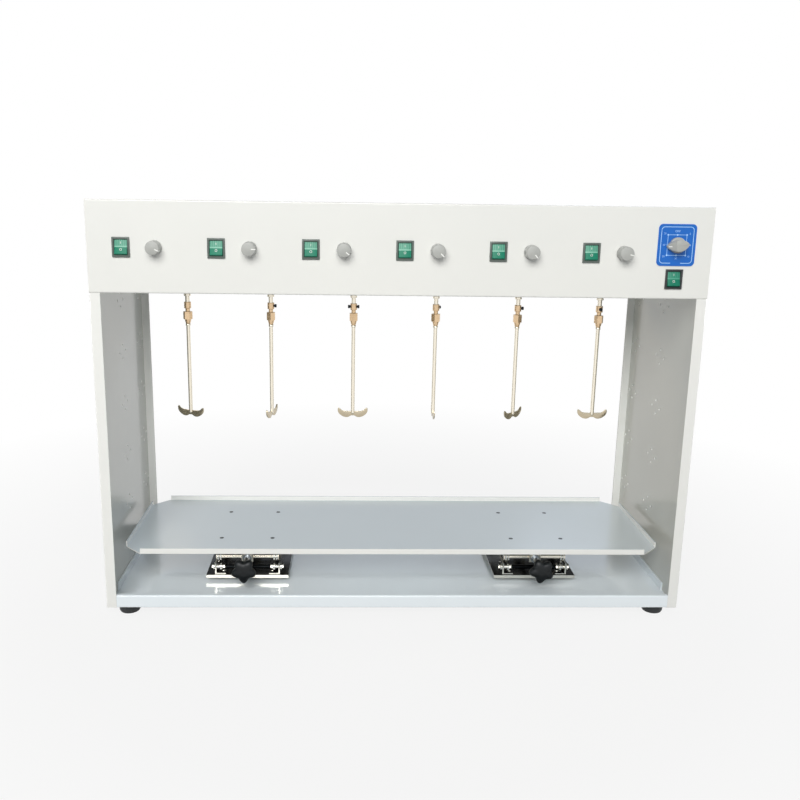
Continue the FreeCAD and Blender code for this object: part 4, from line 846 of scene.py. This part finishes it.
def blade():
    """Stands in the XZ plane, with its lower edge at zero."""
    shape = bmesh.new()
    corners = [shape.verts.new((across * MM, height * MM, 0)) for across, height, _ in WING]
    shape.faces.new(corners)
    for corner, (_, _, rounding) in zip(corners, WING):
        if rounding:
            bmesh.ops.bevel(shape, geom=[corner], offset=rounding * MM, offset_type="OFFSET",
                            segments=6, profile=0.5, affect="VERTICES", material=-1)
    bmesh.ops.mirror(shape, geom=everything(shape), axis="X", merge_dist=CLOSE)
    raised(shape, SHEET)
    shape.normal_update()
    bevelled(shape, SHEET_ROUND, 2, creased(shape, 60))
    return moved(shape, (0, SHEET / 2 * MM, 0), FACING_FRONT)


for number in STATIONS:
    body = f"paddle_{number}"
    axis = joint_places[f"spindle_{number}_spin"]
    place = (axis.x, axis.y, HEAD_UNDERSIDE - BLADE_DROP * MM)
    turn = about_z(BLADE_TURNS[number - 1])
    top = BLADE_DROP - ROD_TOP
    rod = turned([(0, 4.8), (1.4, 4.8), (ROD_RADIUS, 6.4), (ROD_RADIUS, top - 0.6),
                  (ROD_RADIUS - 0.5, top), (0, top)], steps=32)
    piece = make_piece(f"stirrer_{number}_rod", moved(rod, place, turn), body, ROD_STEEL)
    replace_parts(piece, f"stirrer_{number}")
    make_piece(f"stirrer_{number}_blade", moved(blade(), place, turn), body, BLADE_STEEL)
print(len(BLADE_TURNS), "stirrers hung")

# %% [markdown]
# ## Jacks
# The jacks' pins end in hexagon nuts on washers, and round-headed bolts hold their rails. The lead
# screw has a real thread: one tooth is spun round the axis while it moves along by one pitch.

# %% Nuts and bolts of the jacks
NUT_RADIUS, NUT_ROUND, WASHER_RADIUS = 4.8, 0.35, 5.4
# Where nuts sit, from the jack's middle: inside the inner arms, and at the ends of the pins
INNER_SEAT, OUTER_SEAT = 35.9, 47.3
# The rail's height over its foot, the bolts' places from the jack's middle, and how far the upper
# pins are below the arms' highest point
RAIL_OVER_FOOT, BOLT_X, BOLT_Y, PIN_BELOW = 15, 34, 44, 6
# Where each pair of arms has its end pin, as (behind, high)
ARM_LEVELS = {"lower_inner_arms": (0, 0), "lower_outer_arms": (1, 0),
              "upper_outer_arms": (0, 1), "upper_inner_arms": (1, 1)}


def washer_and_nut(washer, high):
    """Faces +Z, with its seat at zero."""
    disc = turned([(0, 0), (WASHER_RADIUS, 0), (WASHER_RADIUS, washer), (0, washer)], steps=28)
    nut = moved(bevelled(raised(polygon_disc(6, NUT_RADIUS), high), NUT_ROUND),
                (0, 0, washer * MM))
    return joined(disc, nut)


def round_head():
    """A small round-headed bolt, facing +Z."""
    return turned([(0, 0), (3.3, 0), (3.3, 0.7), (2.9, 1.5), (2.0, 2.1), (0.9, 2.4), (0, 2.4)],
                  steps=24)


jack_places = {side: joint_places[f"{side}_screw_turn"].x for side in ("left", "right")}
for side, jack_x in jack_places.items():
    low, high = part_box(f"{side}_jack_base")
    middle_y = (low.y + high.y) / 2
    bolts = [moved(round_head(), (jack_x + x_side * BOLT_X * MM, middle_y + y_side * BOLT_Y * MM,
                                  high.z - RAIL_OVER_FOOT * MM))
             for x_side in (-1, 1) for y_side in (-1, 1)]
    make_piece(f"{side}_rail_bolts", joined(*bolts), "frame", ZINC)
    hinge = joint_places[f"{side}_lower_outer_arms_hinge"]
    depths = joint_places[f"{side}_screw_turn"].y, hinge.y
    heights = hinge.z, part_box(f"{side}_upper_outer_arms")[1].z - PIN_BELOW * MM
    for arms, (behind, upper) in ARM_LEVELS.items():
        pin = (depths[behind], heights[upper])
        nuts = []
        for x_side in (-1, 1):
            outward = Matrix.Rotation(x_side * math.pi / 2, 4, "Y")
            nuts.append(moved(washer_and_nut(0.4, 2.2),
                              (jack_x + x_side * OUTER_SEAT * MM, *pin), outward))
            if arms.endswith("inner_arms"):
                inward = Matrix.Rotation(-x_side * math.pi / 2, 4, "Y")
                nuts.append(moved(washer_and_nut(1.0, 3.4),
                                  (jack_x + x_side * INNER_SEAT * MM, *pin), inward))
        make_piece(f"{side}_{arms}_nuts", joined(*nuts), f"{side}_{arms}", ZINC)
print(len(ARM_LEVELS) * 2, "sets of nuts fitted")

# %% Lead screws
PITCH, CREST, ROOT, STEPS_PER_TURN = 2.0, 4.0, 3.3, 20
# Where the thread starts behind the front bar, and how long the tip of the tail is
THREAD_START, TAIL_TIP = 10, 1.4


def threaded_rod(start, end):
    """A right-hand thread along Z, between two heights in millimetres."""
    turns = round((end - start) / PITCH)
    shape = bmesh.new()
    tooth = [(ROOT, 0), (CREST, 0.75), (CREST, 1.25), (ROOT, PITCH)]
    points = [shape.verts.new((radius * MM, 0, (start + height) * MM)) for radius, height in tooth]
    edges = [shape.edges.new(pair) for pair in zip(points, points[1:])]
    bmesh.ops.spin(shape, geom=points + edges, cent=(0, 0, 0), axis=(0, 0, 1),
                   angle=2 * math.pi * turns, steps=STEPS_PER_TURN * turns,
                   dvec=(0, 0, PITCH / STEPS_PER_TURN * MM))
    bmesh.ops.remove_doubles(shape, verts=shape.verts, dist=CLOSE)
    return shape


def lead_screw(reach):
    """Plain shank and collars in front, thread behind. Zero is the front bar, and +Z the back."""
    shank = turned([(0, -50), (3.9, -50), (3.9, -8.9), (6.0, -8.9), (6.2, -8.7), (6.2, -6.5),
                    (6, -6.3), (4, -6.3), (4, 6.3), (6, 6.3), (6.2, 6.5), (6.2, 8.6), (6, 8.8),
                    (3.9, 8.8), (3.9, THREAD_START), (0, THREAD_START)])
    tail = turned([(0, reach - 1), (3.2, reach - 1), (2.9, reach + TAIL_TIP),
                   (0, reach + TAIL_TIP)])
    return joined(shank, threaded_rod(THREAD_START, reach - 2), tail)


for side in jack_places:
    body = f"{side}_screw"
    bar = joint_places[f"{side}_screw_turn"]
    reach = (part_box(f"{side}_lead_screw")[1].y - bar.y) / MM - TAIL_TIP
    screw = make_piece(f"{side}_lead_screw_thread", moved(lead_screw(reach), bar, FACING_BACK),
                       body, BAR_STEEL)
    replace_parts(screw, f"{side}_lead_screw")

# %% [markdown]
# ## Hand knobs
# Each screw is turned by a black five-lobed knob, moulded over its end. The lathe makes a cushion
# with a hub behind it, and then its radius swells and shrinks five times around.

# %% Hand knobs
STAR_REACH, STAR_SWELL, STAR_HUB, STAR_LOBES, STAR_FRONT = 14.75, 2.4, 7.5, 5, 7
# How far each knob is turned, in degrees
STAR_TURNS = {"left": 0, "right": 10}


def star_knob(turned_by):
    """Faces +Z. Zero is the middle of the knob."""
    shape = turned([(0, STAR_FRONT), (6, 6.9), (10.4, 6.3), (13.2, 5), (14.5, 2.8),
                    (STAR_REACH, 0), (14.4, -3), (13, -5.2), (10.4, -6.6),
                    (STAR_HUB + 0.3, -7.2), (STAR_HUB, -8), (STAR_HUB - 0.3, -15),
                    (STAR_HUB - 1.2, -16), (0, -16)], steps=160)
    lowest_lobe = math.radians(-90 - turned_by)
    for vert in shape.verts:
        radius = vert.co.xy.length / MM
        if radius > STAR_HUB + 0.05:
            angle = math.atan2(vert.co.y, vert.co.x) - lowest_lobe
            share = (radius - STAR_HUB) / (STAR_REACH - STAR_HUB)
            vert.co.xy *= 1 + share * STAR_SWELL * math.cos(STAR_LOBES * angle) / radius
    return shape


for side, turned_by in STAR_TURNS.items():
    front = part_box(f"{side}_jack_knob")[0].y
    bar = joint_places[f"{side}_screw_turn"]
    place = (bar.x, front + STAR_FRONT * MM, bar.z)
    knob = make_piece(f"{side}_hand_knob", moved(star_knob(turned_by), place, FACING_FRONT),
                      f"{side}_screw", STAR, crease=60)
    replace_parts(knob, f"{side}_jack_knob")

# %% [markdown]
# ## Feet and cover screws
# The frame stands on four rubber feet, barrel shaped from its weight. Round-headed screws hold the
# rear cover.

# %% Feet and cover screws
low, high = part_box("rubber_feet")
FOOT_RADIUS = 14
feet = []
for x in (low.x + FOOT_RADIUS * MM, high.x - FOOT_RADIUS * MM):
    for y in (low.y + FOOT_RADIUS * MM, high.y - FOOT_RADIUS * MM):
        feet.append(moved(turned([(0, 0), (10.8, 0), (12.4, 0.7), (13.6, 3), (FOOT_RADIUS, 7),
                                  (13.8, 11.5), (13.1, 14.2), (12.2, 15), (0, 15)]), (x, y, 0)))
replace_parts(make_piece("round_feet", joined(*feet), "frame", RUBBER), "rubber_feet")

SCREWS_ACROSS, SCREWS_UP, SCREWS_DOWN = (-355, -180, 0, 180, 355), 9, 10
low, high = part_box("head_rear_cover")
cover_screws = [moved(round_head(), (x * MM, high.y, z), FACING_BACK) for x in SCREWS_ACROSS
                for z in (low.z + SCREWS_UP * MM, high.z - SCREWS_DOWN * MM)]
make_piece("cover_screws", joined(*cover_screws), "frame", BLACK_OXIDE)
print(len(feet), "feet and", len(cover_screws), "cover screws")

# %% [markdown]
# ## Camera
# The photograph was taken from a little left of the middle, a metre in front of the frame and at
# the height of its top edge, with the camera tipped down. The lens and place come from fitting the
# corners of the frame, the tray and the six rods.

# %% Camera
CAMERA_PLACE = (-0.0675, -1.1288, 0.5352)
LOOK_RIGHT = math.radians(1.68)
LOOK_DOWN = math.radians(12.21)
ROLL = math.radians(0.80)
FOCAL_PIXELS = 836.5
IMAGE_PIXELS = 800
CENTRE_X_PIXEL, CENTRE_Y_PIXEL = 368.8, 383.5

camera_data = bpy.data.cameras.new("camera")
camera_data.sensor_width = 36
camera_data.lens = camera_data.sensor_width * FOCAL_PIXELS / IMAGE_PIXELS
camera_data.shift_x = 0.5 - CENTRE_X_PIXEL / IMAGE_PIXELS
camera_data.shift_y = CENTRE_Y_PIXEL / IMAGE_PIXELS - 0.5
camera = bpy.data.objects.new("camera", camera_data)
camera.matrix_world = (
    Matrix.Translation(CAMERA_PLACE) @ Matrix.Rotation(-LOOK_RIGHT, 4, "Z")
    @ Matrix.Rotation(math.pi / 2 - LOOK_DOWN, 4, "X") @ Matrix.Rotation(ROLL, 4, "Z"))
bpy.context.scene.collection.objects.link(camera)
bpy.context.scene.camera = camera
bpy.context.scene.view_settings.view_transform = "Standard"

# %% [markdown]
# ## Light and floor
# The photograph has a pure white surround, bright and even light from the front, and dull inner
# sides. So one wide lamp stands before the object, two weak tinted ones behind it and two small
# ones beside it, and the sky around is dim. The camera sees the surround as full white. Mirrors
# see a pale room, which is darker low down at the back.

# %% Light and floor


def soft_lamp(name, place, aim, size, watts, tint):
    lamp_data = bpy.data.lights.new(name, "AREA")
    lamp_data.shape = "RECTANGLE"
    lamp_data.size, lamp_data.size_y = size
    lamp_data.energy = watts
    lamp_data.color = colour(tint)[:3]
    lamp = bpy.data.objects.new(name, lamp_data)
    lamp.location = place
    lamp.rotation_euler = (Vector(aim) - Vector(place)).to_track_quat("-Z", "Y").to_euler()
    bpy.context.scene.collection.objects.link(lamp)


def dim_sky(level, tint):
    """Weak light from all around. The camera sees it white, and mirrors see a room in it."""
    world = bpy.data.worlds.new("surround")
    bpy.context.scene.world = world
    world.use_nodes = True
    tree = world.node_tree
    light_path = add_node(tree, "LightPath").outputs
    # In a world, these coordinates are the direction of the ray
    direction = add_node(tree, "TexCoord").outputs["Generated"]
    behind = ranged(tree, share_along(tree, "Y", direction), -0.3, 0.6)
    low = ranged(tree, share_along(tree, "Z", direction), 0.3, 0.02)
    room = mixed(tree, calculated(tree, "MULTIPLY", behind, low), "#f0f6ff", "#6c6e6c")
    dim = [c * level for c in colour(tint)[:3]] + [1]
    mirrored = mixed(tree, light_path["Is Glossy Ray"], dim, room)
    direct = calculated(tree, "MAXIMUM", light_path["Is Camera Ray"],
                        light_path["Is Transmission Ray"])
    tree.links.new(mixed(tree, direct, mirrored, "#ffffff"),
                   tree.nodes["Background"].inputs["Color"])


def white_floor(size, glow, near, far):
    """A floor that keeps a pale shadow near the object, and is pure white away from it."""
    shape = bmesh.new()
    bmesh.ops.create_grid(shape, x_segments=1, y_segments=1, size=size)
    mesh = bpy.data.meshes.new("floor")
    shape.to_mesh(mesh)
    shape.free()
    material, tree, shader, place = start_material(
        "floor_paper", Roughness=0.9, Base_Color=colour("#a8a8a6"))
    light = add_node(tree, "Emission", {"Color": (1, 1, 1, 1), "Strength": 1.0})
    distance = add_node(tree, "VectorMath", {0: place}, operation="LENGTH").outputs["Value"]
    whiteness = ranged(tree, distance, near, far, glow, 1.0)
    # It glows for rays that come from the camera, from a mirror or through glass
    light_path = add_node(tree, "LightPath").outputs
    mirror = calculated(tree, "MAXIMUM", light_path["Is Camera Ray"], light_path["Is Glossy Ray"])
    seen = calculated(tree, "MAXIMUM", mirror, light_path["Is Transmission Ray"])
    surface = add_node(tree, "MixShader", {
        0: calculated(tree, "MULTIPLY", seen, whiteness), 1: shader.outputs[0],
        2: light.outputs[0]})
    tree.links.new(surface.outputs[0], tree.nodes["Material Output"].inputs["Surface"])
    mesh.materials.append(material)
    floor = bpy.data.objects.new("floor", mesh)
    bpy.context.scene.collection.objects.link(floor)


FRAME_MIDDLE = (0, 0.1, 0.35)
soft_lamp("front_lamp", (-0.4, -2.3, 1.65), (0, 0, 0.3), (1.8, 1.4), 64, "#fffefb")
soft_lamp("back_right_lamp", (1.3, 2.1, 1.7), FRAME_MIDDLE, (1.4, 0.9), 10, "#dceaff")
soft_lamp("back_left_lamp", (-1.3, 2.1, 1.7), FRAME_MIDDLE, (1.4, 0.9), 10, "#ffe8c8")
soft_lamp("left_side_lamp", (-1.8, 0, 0.5), (-0.375, 0, 0.3), (0.6, 0.6), 10, "#fbfdff")
soft_lamp("right_side_lamp", (1.8, 0, 0.5), (0.375, 0, 0.3), (0.6, 0.6), 10, "#fbfdff")
dim_sky(0.12, "#eef3fa")
white_floor(12, 0.86, near=0.45, far=1.1)
